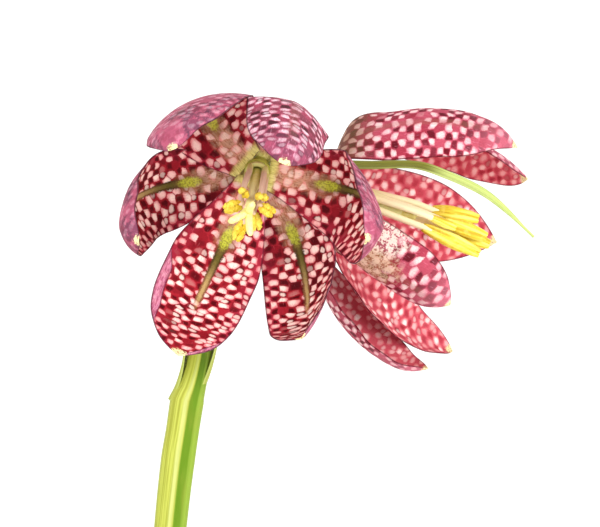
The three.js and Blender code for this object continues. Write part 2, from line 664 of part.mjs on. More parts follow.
for (const [name, leaf] of Object.entries(LEAVES)) {
  const body = largest(solid(stemLeaf(leaf)).subtract(stemRoom));
  place(name, geometryOf(body), COLOURS.leaf, 0.45);
}
const upperCourse = UPPER_LEAF.course.map(point);
const upperInward = new THREE.Vector3(-0.75, 0.1, 0.65).normalize();
const upperLeaf = blade(leafGrid(upperCourse, upperInward, UPPER_LEAF.width, 20, 40, 0.7), LEAF_BLADE);
place('leaf_upper', geometryOf(largest(solid(upperLeaf).subtract(stemRoom))), COLOURS.leaf, 0.45);

for (const [name, flower] of Object.entries(FLOWERS)) {
  place(`${name}_flower_stamens`, stamens(flower), COLOURS.stamen, 0.7);
  place(`${name}_flower_pistil`, pistil(flower), COLOURS.pistil, 0.5);
  const order = flower.petals.map((petal, k) => k).sort((a, b) => (flower.petals[b].inner ?? 0) - (flower.petals[a].inner ?? 0));
  const rooms = [];
  const petals = [];
  for (const k of order) {
    let body = solid(blade(petalGrid(flower, flower.petals[k]), BLADE)).subtract(stemRoom);
    for (const room of rooms) body = body.subtract(room);
    petals[k] = largest(body);
    rooms.push(solid(blade(petalGrid(flower, flower.petals[k], GAP), BLADE + 2 * GAP)));
  }
  petals.forEach((body, k) => place(`${name}_flower_petal_${k + 1}`, geometryOf(body), COLOURS.petal, 0.5));
}

export default plant;
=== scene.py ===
"""A snake's head fritillary with two flowers, in a plain clay pot, and the studio it stands in."""

import math
import random
from types import SimpleNamespace

import bpy
from bpy.props import FloatProperty, FloatVectorProperty, IntProperty, PointerProperty
from bpy.types import Operator, Panel, PropertyGroup
from mathutils import Matrix, Vector, noise


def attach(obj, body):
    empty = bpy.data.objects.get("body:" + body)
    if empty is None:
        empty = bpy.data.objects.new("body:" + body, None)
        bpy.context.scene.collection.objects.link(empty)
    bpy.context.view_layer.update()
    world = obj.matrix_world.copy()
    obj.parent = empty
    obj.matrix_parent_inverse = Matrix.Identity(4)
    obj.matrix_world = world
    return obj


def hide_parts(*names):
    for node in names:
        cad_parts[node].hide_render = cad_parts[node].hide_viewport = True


bl_info = {
    "name": "Potted snake's head fritillary",
    "version": (1, 0, 0),
    "blender": (4, 5, 0),
    "location": "View3D > Sidebar > Fritillary",
    "description": "Builds the flowers, leaves, stem, bulb, soil and clay pot of a snake's head fritillary",
    "category": "Object",
}

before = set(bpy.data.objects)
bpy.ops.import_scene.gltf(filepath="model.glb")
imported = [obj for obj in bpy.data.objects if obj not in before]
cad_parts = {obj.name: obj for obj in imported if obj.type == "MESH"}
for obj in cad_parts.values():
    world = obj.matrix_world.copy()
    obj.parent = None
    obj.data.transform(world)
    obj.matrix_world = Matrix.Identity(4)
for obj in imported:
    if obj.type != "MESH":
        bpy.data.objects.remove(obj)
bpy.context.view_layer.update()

# Sizes are in millimetres and bends in degrees. UP is upward as the camera sees it.
MM = 0.001
X = Vector((1.0, 0.0, 0.0))
Z = Vector((0.0, 0.0, 1.0))
UP = Vector((0.0, 0.0698, 0.9976))

# A petal leaves the axis at its base, bends at its shoulder (at a length, over a stretch), sweeps and
# curls, while it leans, veers and twists. cup and keel shape it across, point its tip, tone its looks.
PETAL = dict(length=43, width=19, inner=0, base=5, shoulder=80, at=10, over=9, sweep=12, curl=25,
             lean=0, veer=0, twist=0, cup=34, keel=0, point=0.62, tone=0)
INNER_RISE = 1.3
PETAL_ROOT = 2.2
PETAL_ROWS, PETAL_COLUMNS = 72, 40
FLOWERS = {
    "front": dict(
        at=Vector((26, -8, 270)), axis=Vector((-0.05, -0.95, -0.309)).normalized(),
        petals=[
            dict(azimuth=-51, inner=1, base=-20, shoulder=90, at=15, over=10, sweep=26, curl=51, lean=-35,
                 veer=20, twist=9, width=22.8, tone=0.5),
            dict(azimuth=27.5, base=9, shoulder=78, at=14.7, over=14.5, sweep=24, curl=33, veer=-4, twist=3,
                 cup=52, keel=0.09, length=40.3, width=18.6),
            dict(azimuth=-107, base=-13, shoulder=83, at=20.5, over=22, sweep=38, curl=40, lean=-10,
                 veer=-3, twist=-12, cup=39, keel=0.18, length=46, width=18, tone=0.9),
            dict(azimuth=-155, inner=1, base=19, shoulder=34, at=16.5, over=7, sweep=32, curl=-5,
                 lean=-3.5, veer=4, twist=6, cup=13, keel=0.04, length=46.6, width=18.7, tone=-1),
            dict(azimuth=150.8, base=8, shoulder=55, at=21.6, over=21.6, sweep=43, curl=-2, lean=-12,
                 veer=22.5, twist=22, cup=28.5, keel=0.2, length=47.3, width=16.4, tone=0.9),
            dict(azimuth=103, inner=1, base=2, shoulder=69, at=19, over=15, sweep=26, curl=41, lean=4.5,
                 veer=4, twist=8, cup=36, keel=0.32, length=44, width=21, tone=0.5),
        ],
        anthers=[
            ((-1.5, 1.9, 19.6), (-0.9, 3.0, 22.8), 1), ((-1.8, -0.1, 20.6), (-5.0, -0.5, 22.3), 1),
            ((1.75, 1.1, 19.8), (2.7, 2.1, 22.6), 1), ((1.9, -0.4, 20.6), (4.5, -1.6, 22.2), 1),
            ((-1.3, -3.6, 20.4), (-3.1, -7.0, 22.0), 1), ((0.5, -1.9, 20.4), (1.2, -4.9, 22.0), 1),
        ],
        anther_radius=1.1,
        style=dict(bend=(-0.1, 0.2), length=25, arms=[(-3.5, -1.0), (0.5, -3.8), (1.2, 2.8)]),
    ),
    "side": dict(
        at=Vector((40.19, 22, 265.41)), axis=Vector((0.935, -0.025, -0.354)).normalized(),
        petals=[
            dict(azimuth=-46, base=-3.2, shoulder=55, at=11.8, over=8, sweep=34, curl=35, lean=-13.8,
                 veer=7.7, twist=6.8, cup=35, length=50.2, width=18.8, point=0.95),
            dict(azimuth=24.7, inner=1, base=0.3, shoulder=74.5, at=15.7, over=10, sweep=31, curl=4, lean=6,
                 veer=-3.5, twist=-2, cup=46, keel=0.08, length=54.8, width=20.4, point=0.54),
            dict(azimuth=98.6, base=3.3, shoulder=69, at=12.5, over=9, sweep=16.2, curl=10, lean=14.7,
                 veer=-7, twist=-8.9, cup=14.4, length=52.5, width=20.3, point=0.95),
            dict(azimuth=134, inner=1, base=5.7, shoulder=40, at=7, over=7.5, sweep=31, curl=6, lean=-20,
                 veer=25, twist=0.3, cup=36, length=50.8, width=17.4, point=0.74),
            dict(azimuth=160, base=3, shoulder=32, at=11, over=9, sweep=56, curl=36, lean=-12, veer=-5,
                 twist=8, cup=41, keel=0.08, length=52.5, width=20.5, point=0.7, tone=-1),
            dict(azimuth=224.4, inner=1, base=1, shoulder=79.6, at=9.2, over=5.9, sweep=9.1, curl=42.8,
                 lean=15.4, veer=8.5, twist=-13.2, cup=48.2, keel=0.08, length=42.8, width=17.7, tone=1),
        ],
        anthers=[
            ((1.0, 3.3, 22.9), (1.0, 5.0, 33.0), 1), ((-2.7, 1.5, 22.6), (-2.9, 1.2, 28.9), 0.62),
            ((-0.7, 1.8, 26.0), (-0.3, 1.9, 35.9), 1), ((1.6, 0.3, 27.6), (1.6, 0.7, 37.2), 1),
            ((-1.9, -1.0, 22.2), (-1.6, -2.0, 35.6), 1), ((3.2, 0.3, 24.0), (3.8, 1.0, 34.6), 1),
        ],
        anther_radius=1.5,
        style=dict(bend=(0, 0), length=17, arms=[(-0.7, 0.8), (0.9, 0.2), (0.1, -0.9)]),
    ),
}
GAP = 0.3
HEART_FOOT = 2.4 + GAP
FILAMENT_FOOT, FILAMENT_CLEAR = 1.95, 2.1

# Stem: centre, full width and full depth. Flower stalks: course, and how far behind the seat it straightens.
STEM = [
    ((0, 0, 56.3), 4.6, 4.4), ((0, 0, 72), 5.4, 4.6), ((0, 0, 88), 6.0, 4.8), ((0.9, 1.4, 112), 6.2, 4.7),
    ((2.6, 4.6, 140), 6.3, 4.5), ((5.2, 9.0, 172), 6.5, 4.3), ((7.1, 12.0, 195), 6.9, 4.2),
    ((8.6, 13.0, 208), 7.2, 4.3), ((9.55, 13.2, 214), 7.0, 4.4), ((10.25, 13.2, 218.6), 7.1, 4.6),
    ((10.6, 13.2, 220.6), 7.2, 4.6), ((11.5, 13.2, 223), 6.0, 4.3), ((12.6, 13.2, 227), 5.0, 4.0),
    ((13.5, 13.2, 231.5), 4.8, 3.9), ((15.1, 13.1, 240), 5.0, 3.8),
    ((17.0, 13.0, 250), 5.2, 3.7), ((19.2, 13.0, 259), 5.4, 3.7), ((20.6, 13.0, 264), 5.0, 3.4),
]
STALKS = {
    "front": ([(20.0, 13, 258), (20.9, 13.6, 265.5), (23.2, 13.2, 272.4), (25.6, 9.2, 275.6)], (9, 3)),
    "side": ([(19.6, 13, 257.5), (22.0, 14.4, 264.0), (25.6, 17.6, 269.2), (31, 20.6, 270.2)], (6, 3)),
}
STALK_RADIUS = 1.7

# Leaves: foot height on the stem, side, width, kind, and course as (out, up, aside).
LOWER, MIDDLE, UPPER = 0.0, 0.5, 1.0
LEAVES = {
    "leaf_lower_left": (100, 188, 8.4, LOWER, [
        (0, 0, 0), (0, 9, 0), (4, 24, 0), (15, 45, -2), (33, 60, -5), (55, 62, -8), (74, 50, -10),
        (86, 33, -11)]),
    "leaf_lower_right": (114, 352, 8.0, LOWER, [
        (0, 0, 0), (0, 9, 0), (4, 23, 0), (14, 42, 2), (31, 55, 5), (52, 57, 9), (71, 47, 13)]),
    "leaf_lower_back": (130, 176, 7.4, LOWER, [
        (0, 0, 0), (0, 8, 0), (3, 18, -3), (9, 30, -13), (18, 39, -28), (28, 41, -45), (37, 35, -61)]),
    "leaf_lower_front": (146, 4, 7.0, LOWER, [
        (0, 0, 0), (0, 8, 0), (3, 17, -3), (10, 28, -13), (20, 34, -28), (31, 34, -43), (41, 27, -57)]),
    "leaf_middle_left": (220.3, 160, 5.6, MIDDLE, [
        (1.6, 0, 0), (1.1, 3, 0), (0.7, 7, 0), (0.6, 12, 0), (0.6, 16, -0.6), (1.6, 24, -4.5), (2, 35, -13.6),
        (2.7, 46, -23.5)]),
    "leaf_middle_right": (225.5, 18, 5.4, MIDDLE, [
        (0.1, -4.5, 0), (0.5, 0, 0), (0.7, 4, 0), (0.7, 9, 0), (0.9, 15, 0.2), (2.6, 23, 5.4), (5, 34, 13.2),
        (7.7, 45, 21.7)]),
}
UPPER_LEAF = [
    (22.5, 12.2, 259.4), (24.9, 11.2, 264.4), (29.6, 8.6, 268.2), (37, 4.6, 270.1), (48.8, -0.9, 270.1),
    (58.3, -3.6, 270.1), (63.8, -5.2, 268.3), (71.1, -8.4, 264.8), (75.7, -10.2, 261.3), (80.8, -12, 256.4),
]
UPPER_LEAF_WIDTH = 4.2
SHEATH = 62

# Pot, soil and bulb.
POT_HEIGHT, POT_BASE_RADIUS, POT_SHOULDER_RADIUS = 95, 36, 49
RIM_RADIUS, RIM_HEIGHT, WALL, FLOOR = 55, 24, 5, 8
NECK = POT_HEIGHT - RIM_HEIGHT
DRAIN_RADIUS, DRAIN_CIRCLE = 4, 17
SOIL_LEVEL, SOIL_RADIUS, STEM_HOLE = 85, 47, 3.35
SOIL_SIDES, CRUMBS = 120, 520
BULB_BOTTOM = 40

# Studio, in metres.
CAMERA_PLACE = Vector((34.4, -428.3, 280.24)) * MM
LIGHTS_AIM = Vector((0.03, 0.0, 0.26))
FLOOR_RADIUS, SWEEP_RADIUS, BACKDROP_HEIGHT = 4.0, 1.5, 3.2


def smooth(low, high, x):
    """Rises smoothly from 0 to 1 while x goes from low to high."""
    t = min(1.0, max(0.0, (x - low) / (high - low)))
    return t * t * (3 - 2 * t)


def turn(angle, axis):
    return Matrix.Rotation(angle, 3, axis)


def turns(sides):
    """Angles evenly spaced round a circle."""
    return [2 * math.pi * j / sides for j in range(sides)]


def around(radius, angle, height=0.0):
    """The point at a radius, angle and height round Z."""
    return Vector((radius * math.cos(angle), radius * math.sin(angle), height))


def course(points, count):
    """Evenly spaced points and directions on a smooth curve through the given points, and its length."""
    def between(p, q, low, high):
        return p * ((high - t) / (high - low)) + q * ((t - low) / (high - low))

    points = [Vector(p) for p in points]
    ends = [points[0] * 2 - points[1]] + points + [points[-1] * 2 - points[-2]]
    fine, stops = [], 24
    for a, b, c, d in zip(ends, ends[1:], ends[2:], ends[3:]):
        knots = [0.0]
        for p, q in ((a, b), (b, c), (c, d)):
            knots.append(knots[-1] + max(1e-6, (q - p).length ** 0.5))
        t0, t1, t2, t3 = knots
        for k in range(stops):
            t = t1 + (t2 - t1) * k / stops
            p, q, r = between(a, b, t0, t1), between(b, c, t1, t2), between(c, d, t2, t3)
            fine.append(between(between(p, q, t0, t2), between(q, r, t1, t3), t1, t2))
    fine.append(points[-1])
    lengths = [0.0]
    for p, q in zip(fine, fine[1:]):
        lengths.append(lengths[-1] + (q - p).length)
    found, k = [], 0
    for i in range(count + 1):
        reach = lengths[-1] * (i / count)
        while k < len(fine) - 2 and lengths[k + 1] < reach:
            k += 1
        share = (reach - lengths[k]) / (lengths[k + 1] - lengths[k])
        found.append((fine[k].lerp(fine[k + 1], share), (fine[k + 1] - fine[k]).normalized()))
    return found, lengths[-1]


def put(name, data):
    """A new object in the scene."""
    made = bpy.data.objects.new(name, data)
    bpy.context.scene.collection.objects.link(made)
    return made


def mesh_of(name, points, faces, soft=True):
    mesh = bpy.data.meshes.new(name)
    mesh.from_pydata(points, [], faces)
    mesh.polygons.foreach_set("use_smooth", [soft] * len(faces))
    return mesh


class Shape:
    """Points in millimetres and faces of one piece, with the values that its finish reads."""

    def __init__(self):
        self.points, self.faces, self.slots, self.place, self.marks = [], [], [], [], []

    def add(self, points, faces, slots=0, place=None, marks=None):
        """Adds a closed skin with its faces turned outward."""
        volume = 0.0
        for face in faces:
            for b, c in zip(face[1:], face[2:]):
                volume += points[face[0]].dot(points[b].cross(points[c]))
        start, order = len(self.points), -1 if volume < 0 else 1
        self.points += points
        self.faces += [tuple(start + i for i in face[::order]) for face in faces]
        self.slots += slots if isinstance(slots, list) else [slots] * len(faces)
        self.place += place or [(0.0, 0.0, 0.0)] * len(points)
        self.marks += marks or [(0.0, 0.0, 0.0)] * len(points)

    def loft(self, rings, slot=0, place=None, marks=None, close=False):
        """Adds a skin over rings of points, with a cap at each end or joined end to end."""
        sides, count = len(rings[0]), len(rings)
        faces = []
        for i in range(count if close else count - 1):
            m = (i + 1) % count
            for j in range(sides):
                k = (j + 1) % sides
                faces.append((i * sides + j, i * sides + k, m * sides + k, m * sides + j))
        if not close:
            last = (count - 1) * sides
            faces += [tuple(range(sides - 1, -1, -1)), tuple(range(last, last + sides))]
        self.add([p for ring in rings for p in ring], faces, slot, place, marks)

    def lathe(self, profile, sides, ripple=lambda angle, height: 0.0, close=False):
        """Adds a turned form about Z from (radius, height) pairs. ripple moves its skin outward."""
        rings = [[around(r + ripple(angle, h), angle, h) for angle in turns(sides)] for r, h in profile]
        place = [around(1, angle, h) for r, h in profile for angle in turns(sides)]
        self.loft(rings, 0, place, close=close)

    def tube(self, points, radius, steps, sides, slot=0, mark=0.0, rough=0.0):
        """Adds a round tube. radius(t) follows the share t of its length; rough lumps its skin."""
        found, length = course(points, steps)
        across = X if abs(found[0][1].x) < 0.8 else Vector((0, 1, 0))
        rings, place, marks = [], [], []
        for i, (centre, along) in enumerate(found):
            t, ring = i / steps, []
            across = (across - along * across.dot(along)).normalized()
            other = along.cross(across)
            for angle in turns(sides):
                c, s = math.cos(angle), math.sin(angle)
                p = centre + across * (radius(t) * c) + other * (radius(t) * s)
                if rough:
                    lumps = noise.noise(p * 1.9) + 0.6 * noise.noise(p * 4.1)
                    p += (p - centre).normalized() * (rough * lumps)
                ring.append(p)
                place.append((c, s, t * length))
                marks.append((t, mark, 0.0))
            rings.append(ring)
        self.loft(rings, slot, place, marks)

    def blade(self, rows, thickness, seed, kind, slots):
        """Adds a thin closed sheet over rows, each with its points, length, share of the length and half
        width. The first slot is for the side that faces inward."""
        count, width = len(rows), len(rows[0][0])
        points, place, marks = [], [], []
        for side in (0.5, -0.5):
            for i, (row, s, t, half) in enumerate(rows):
                for j in range(width):
                    v = 2 * j / (width - 1) - 1
                    along = rows[min(i + 1, count - 1)][0][j] - rows[max(i - 1, 0)][0][j]
                    across = row[min(j + 1, width - 1)] - row[max(j - 1, 0)]
                    points.append(row[j] + across.cross(along).normalized() * (side * thickness(abs(v), t)))
                    place.append((v, s, half))
                    marks.append((t, seed, kind))
        back, last = count * width, (count - 1) * width
        faces, kinds = [], []
        for a in (i * width + j for i in range(count - 1) for j in range(width - 1)):
            b = a + width
            faces += [(a, b, b + 1, a + 1), (back + a + 1, back + b + 1, back + b, back + a)]
            kinds += slots
        rim = [*range(width - 1), *range(width - 1, last + width - 1, width),
               *range(last + width - 1, last, -1), *range(last, 0, -width)]
        faces += [(a, b, back + b, back + a) for a, b in zip(rim, rim[1:] + rim[:1])]
        self.add(points, faces, kinds + [slots[1]] * len(rim), place, marks)

    def make(self, name, materials, stands_for, slot):
        """Makes the piece, with the values stored on its points."""
        mesh = mesh_of(name, [p * MM for p in self.points], self.faces)
        mesh.polygons.foreach_set("material_index", self.slots)
        for label, values in (("place", self.place), ("marks", self.marks)):
            attribute = mesh.attributes.new(label, "FLOAT_VECTOR", "POINT")
            attribute.data.foreach_set("vector", [x for value in values for x in value])
        for material in materials:
            mesh.materials.append(material)
        mesh.update()
        piece = put(name, mesh)
        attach(piece, "root")
        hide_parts(stands_for)
        return piece


def rounded(profile, radius, steps=5):
    """A profile of (radius, height) pairs with its inner corners rounded."""
    made = [profile[0]]
    for a, b, c in zip(profile, profile[1:], profile[2:]):
        p, q, r = Vector(a), Vector(b), Vector(c)
        cut = min(radius, (p - q).length * 0.45, (r - q).length * 0.45)
        start, end = q + (p - q).normalized() * cut, q + (r - q).normalized() * cut
        for t in (k / steps for k in range(steps + 1)):
            made.append(tuple(start * (1 - t) ** 2 + q * (2 * t * (1 - t)) + end * t * t))
    return made + [profile[-1]]


def operator_for(operation, swapped=False):
    """An operator that adds one maths node. swapped gives the reflected form."""
    def work(number, *others):
        return number.finish.sum(operation, *((*others, number) if swapped else (number, *others)))
    return work


class Number:
    """A number or vector on a node socket, for sums written as plain expressions."""

    def __init__(self, finish, socket):
        self.finish, self.socket = finish, socket

    __add__, __radd__ = operator_for("ADD"), operator_for("ADD", True)
    __sub__, __rsub__ = operator_for("SUBTRACT"), operator_for("SUBTRACT", True)
    __mul__, __rmul__ = operator_for("MULTIPLY"), operator_for("MULTIPLY", True)
    __truediv__, __rtruediv__ = operator_for("DIVIDE"), operator_for("DIVIDE", True)
    __pow__, __mod__ = operator_for("POWER"), operator_for("FLOORED_MODULO")
    __abs__, __floor__ = operator_for("ABSOLUTE"), operator_for("FLOOR")


class Finish:
    """One material and the nodes that paint it."""

    def __init__(self, name, roughness, gloss):
        self.material = bpy.data.materials.new(name)
        self.material.use_nodes = True
        self.tree = self.material.node_tree
        self.tree.nodes.clear()
        inputs = {"Roughness": roughness, "Specular IOR Level": gloss}
        self.skin = self.node("ShaderNodeBsdfPrincipled", {}, inputs)
        self.node("ShaderNodeOutputMaterial", {}, {"Surface": self.read(self.skin)})

    def feed(self, made, label, value):
        """Links or sets one socket of a node."""
        if isinstance(value, Number):
            self.tree.links.new(value.socket, made.inputs[label])
        else:
            made.inputs[label].default_value = value

    def node(self, kind, settings, inputs):
        made = self.tree.nodes.new(kind)
        for label, value in settings.items():
            setattr(made, label, value)
        for label, value in inputs.items():
            self.feed(made, label, value)
        return made

    def read(self, made, output=0):
        return Number(self, made.outputs[output])

    def parts(self, made):
        return [self.read(made, k) for k in range(3)]

    def sum(self, operation, *terms):
        return self.read(self.node("ShaderNodeMath", {"operation": operation}, dict(enumerate(terms))))

    def step(self, low, high, x):
        """Rises smoothly from 0 to 1 while x goes from low to high."""
        settings = {"interpolation_type": "SMOOTHSTEP"}
        return self.read(self.node("ShaderNodeMapRange", settings, {0: x, 1: low, 2: high}))

    def join(self, x, y, z=0.0):
        return self.read(self.node("ShaderNodeCombineXYZ", {}, {0: x, 1: y, 2: z}))

    def values(self, label):
        """The three numbers that a piece carries under a label."""
        stored = self.node("ShaderNodeAttribute", {"attribute_type": "GEOMETRY", "attribute_name": label}, {})
        return self.parts(self.node("ShaderNodeSeparateXYZ", {}, {0: self.read(stored, "Vector")}))

    def where(self):
        """The point on the object, in millimetres."""
        place = self.read(self.node("ShaderNodeTexCoord", {}, {}), "Object")
        inputs = {0: place, "Scale": 1 / MM}
        return self.read(self.node("ShaderNodeVectorMath", {"operation": "SCALE"}, inputs))

    def cloud(self, vector, scale=1.0, detail=2.0, roughness=0.5):
        inputs = {"Vector": vector, "Scale": scale, "Detail": detail, "Roughness": roughness}
        return self.read(self.node("ShaderNodeTexNoise", {"noise_dimensions": "3D"}, inputs))

    def strands(self, place, across, along, detail=2.0):
        """Noise drawn out along a turned form, from its two directions round Z and its height."""
        c, s, height = place
        return self.cloud(self.join(c * across, s * across, height * along), 1.0, detail)

    def tiles(self, x, y, loose):
        """Loose squares one unit wide: distance to an edge and to the middle, which of two colours, and
        three draws."""
        inputs = {"Vector": self.join(x, y), "Scale": 1.0, "Randomness": loose}
        flat = {"voronoi_dimensions": "2D"}
        near = self.node("ShaderNodeTexVoronoi", {**flat, "feature": "F1"}, inputs)
        edge = self.node("ShaderNodeTexVoronoi", {**flat, "feature": "DISTANCE_TO_EDGE"}, inputs)
        column, row, _ = self.parts(self.node("ShaderNodeSeparateXYZ", {}, {0: self.read(near, "Position")}))
        second = (math.floor(column) + math.floor(row)) % 2.0
        draws = self.node("ShaderNodeSeparateColor", {}, {0: self.read(near, "Color")})
        return self.read(edge, "Distance"), self.read(near, "Distance"), second, self.parts(draws)

    def mix(self, share, one, two):
        """One colour changed to another by a share."""
        one, two = (value if isinstance(value, Number) else (*value, 1.0) for value in (one, two))
        settings = {"data_type": "RGBA", "clamp_factor": True}
        return self.read(self.node("ShaderNodeMix", settings, {0: share, 6: one, 7: two}), 2)

    def coats(self, base, *layers):
        """A base with layers of colour over it, each a pair of its share and its colour."""
        for share, over in layers:
            base = self.mix(share, base, over)
        return base

    def paint(self, base, height=None, strength=0.0, roughness=None):
        """Feeds the shader's colour and roughness, and a bump from a height."""
        self.feed(self.skin, "Base Color", base)
        if roughness is not None:
            self.feed(self.skin, "Roughness", roughness)
        if height is not None:
            inputs = {"Height": height, "Strength": strength, "Distance": 0.4 * MM}
            self.feed(self.skin, "Normal", self.read(self.node("ShaderNodeBump", {}, inputs)))
        return self.material


def shade(label, text, value):
    return FloatVectorProperty(name=label, description=text, default=value, size=3, min=0, max=1,
                               subtype="COLOR")


def span(label, text, value):
    return FloatProperty(name=label, description=text, default=value * MM, min=0.2 * MM, max=10 * MM,
                         unit="LENGTH", precision=5)


class PetalSettings(PropertyGroup):
    """Sizes and colours of the chequered petals"""
    thickness: span("Thickness", "Thickness at a petal's rib", 0.55)
    pitch: span("Cell width", "Width of one cell of the chequer", 1.6)
    row: span("Cell length", "Length of one cell of the chequer", 1.3)
    maroon: shade("Maroon", "The darkest cells inside", (0.080, 0.003, 0.006))
    crimson: shade("Crimson", "The ground between cells inside", (0.22, 0.007, 0.014))
    scarlet: shade("Scarlet", "The ground where light comes through", (0.38, 0.018, 0.030))
    wine: shade("Wine", "The ground near the edge inside", (0.40, 0.030, 0.065))
    rose: shade("Rose", "The pinker of the light cells", (0.74, 0.20, 0.22))
    flush: shade("Flush", "Pink where light comes through", (0.60, 0.085, 0.12))
    pale: shade("Pale", "The palest cells near the rib", (0.95, 0.74, 0.66))
    mauve: shade("Mauve", "The outer face where it rolls over the edge", (0.36, 0.085, 0.16))
    lilac: shade("Lilac", "Light cells outside the front flower", (0.97, 0.70, 0.78))
    blush: shade("Blush", "Light cells outside the side flower", (0.96, 0.70, 0.68))
    rim: shade("Rim", "The thin line along a petal's edge", (0.12, 0.012, 0.030))
    rib: shade("Rib green", "The nectary at the rib's inner end", (0.52, 0.55, 0.05))
    tip: shade("Tip cream", "The spot at a petal's tip", (0.80, 0.70, 0.38))


class GreenSettings(PropertyGroup):
    """Colours of the stem and leaves"""
    stem: shade("Stem", "Yellow green of the stem's left half", (0.30, 0.32, 0.040))
    stem_light: shade("Stem light", "Light bands along the stem", (0.47, 0.50, 0.085))
    stem_right: shade("Stem right", "Clear green of the stem's right half", (0.205, 0.33, 0.030))
    stem_dark: shade("Stem dark", "The groove along the stem", (0.092, 0.195, 0.004))
    leaf: shade("Leaf", "Middle green of a leaf", (0.15, 0.24, 0.06))
    leaf_light: shade("Leaf light", "Light green of a leaf's edge and tip", (0.50, 0.60, 0.22))


class HeartSettings(PropertyGroup):
    """Colours of the stamens and pistil"""
    pollen: shade("Pollen", "The anthers", (0.70, 0.46, 0.025))
    pollen_light: shade("Pollen light", "Lit lobes of the anthers", (0.86, 0.66, 0.09))
    filament: shade("Filament", "The filaments", (0.97, 0.92, 0.56))
    pistil: shade("Pistil", "Ovary and style", (0.82, 0.78, 0.34))
    stigma: shade("Stigma", "The three arms", (0.78, 0.71, 0.23))


class PotSettings(PropertyGroup):
    """Colours of the pot, soil and bulb"""
    clay: shade("Clay", "The fired clay", (0.47, 0.155, 0.075))
    clay_dark: shade("Clay dark", "Damp and handled clay", (0.30, 0.085, 0.04))
    lime: shade("Lime", "Pale salts on the clay", (0.72, 0.52, 0.40))
    soil: shade("Soil", "Damp compost", (0.030, 0.018, 0.011))
    soil_light: shade("Soil light", "Dry crumbs and fibre", (0.14, 0.085, 0.045))
    bulb: shade("Bulb", "The bulb's scales", (0.74, 0.64, 0.42))
    sides: IntProperty(name="Sides", description="Faces round the pot", default=128, min=24, max=256)


class StageSettings(PropertyGroup):
    """Camera and light"""
    lens: FloatProperty(name="Lens", description="Focal length in millimetres", default=126.0, min=20,
                        max=300)
    fall: FloatProperty(name="Elevation", description="How far the camera looks down",
                        default=math.radians(4), min=0, max=1.5, subtype="ANGLE")
    key: FloatProperty(name="Key light", description="Power of the large soft light", default=8.5, min=0,
                       subtype="POWER")
    fill: FloatProperty(name="Fill light", description="Power of the fill light", default=7.0, min=0,
                        subtype="POWER")
    sky: FloatProperty(name="Surround", description="Strength of the white surround", default=0.85, min=0)
    floor: shade("Floor", "Floor and backdrop", (0.93, 0.93, 0.92))


def bearings(flower):
    """A flower's forward, upward and sideward directions."""
    axis = flower["axis"]
    up = (UP - axis * UP.dot(axis)).normalized()
    return axis, up, up.cross(axis)


def on_flower(flower, across, up, forward):
    """A point seen from a flower's seat."""
    axis, lift, side = bearings(flower)
    return flower["at"] + side * across + lift * up + axis * forward


def along_flower(flower, forward, points):
    """Points of a form about Z, turned to a flower's axis and moved forward from its seat."""
    spin = Z.rotation_difference(flower["axis"]).to_matrix()
    return [flower["at"] + flower["axis"] * forward + spin @ p for p in points]


def half_width(t, width, point):
    """Half a petal's width at a share of its length."""
    base = 0.30 + 0.70 * smooth(-0.08, 0.42, t)
    taper = max(0.0, 1 - max(0.0, (t - 0.52) / 0.48) ** 2.6) ** point
    return max(0.28, width / 2 * base * taper)


def petal_rows(flower, p, seed):
    """The middle surface of a petal: its rows of points, each with its length, share and half width."""
    inward, up, side = bearings(flower)
    azimuth = math.radians(p["azimuth"])
    along = up * math.cos(azimuth) + side * math.sin(azimuth)
    centre = flower["at"] + along * PETAL_ROOT + inward * (INNER_RISE if p["inner"] else 0.0)
    across = along.cross(inward)
    first = turn(math.radians(p["base"]), across)
    along, inward = first @ along, first @ inward
    between = 4
    steps = PETAL_ROWS * between
    last, travelled, made = (0.0, 0.0, 0.0), 0.0, []
    for i in range(steps + 1):
        s = p["length"] * (1 - (1 - i / steps) ** 1.25)
        t = s / p["length"]
        centre = centre + along * (s - travelled)
        travelled = s
        bend = (p["shoulder"] * smooth(p["at"] - p["over"] / 2, p["at"] + p["over"] / 2, s)
                + p["sweep"] * smooth(p["at"], p["length"], s) + p["curl"] * smooth(0.82, 1.02, t))
        lean = p["lean"] * smooth(0.04, 0.45, t) + p["veer"] * smooth(0.45, 0.9, t)
        now = [math.radians(angle) for angle in (bend, lean, p["twist"] * smooth(0.1, 0.9, t))]
        bending, leaning, twisting = (new - old for new, old in zip(now, last))
        last = now
        m = turn(bending, across)
        along, inward = m @ along, m @ inward
        m = turn(leaning, inward)
        along, across = m @ along, m @ across
        m = turn(twisting, along)
        inward, across = m @ inward, m @ across
        if i % between:
            continue
        half = half_width(t, p["width"], p["point"])
        gather = 0.35 + 0.65 * smooth(0.05, 0.55, t) if p["inner"] else 0.05 + 0.95 * smooth(0.15, 0.6, t)
        cup = math.radians(p["cup"]) * gather
        radius, row = half / cup, []
        for v in (2 * j / PETAL_COLUMNS - 1 for j in range(PETAL_COLUMNS + 1)):
            rise = radius * (1 - math.cos(cup * v)) + p["keel"] * abs(v) * half * smooth(0.1, 0.5, t)
            wave = noise.noise(Vector((v * 1.3, s * 0.16, seed * 3.7)))
            rise += wave * 0.55 * v ** 2 * smooth(0.15, 0.5, t) * (1 - smooth(0.93, 1.0, t))
            row.append(centre + across * (radius * math.sin(cup * v)) + inward * rise)
        made.append((row, s, t, half))
    return made


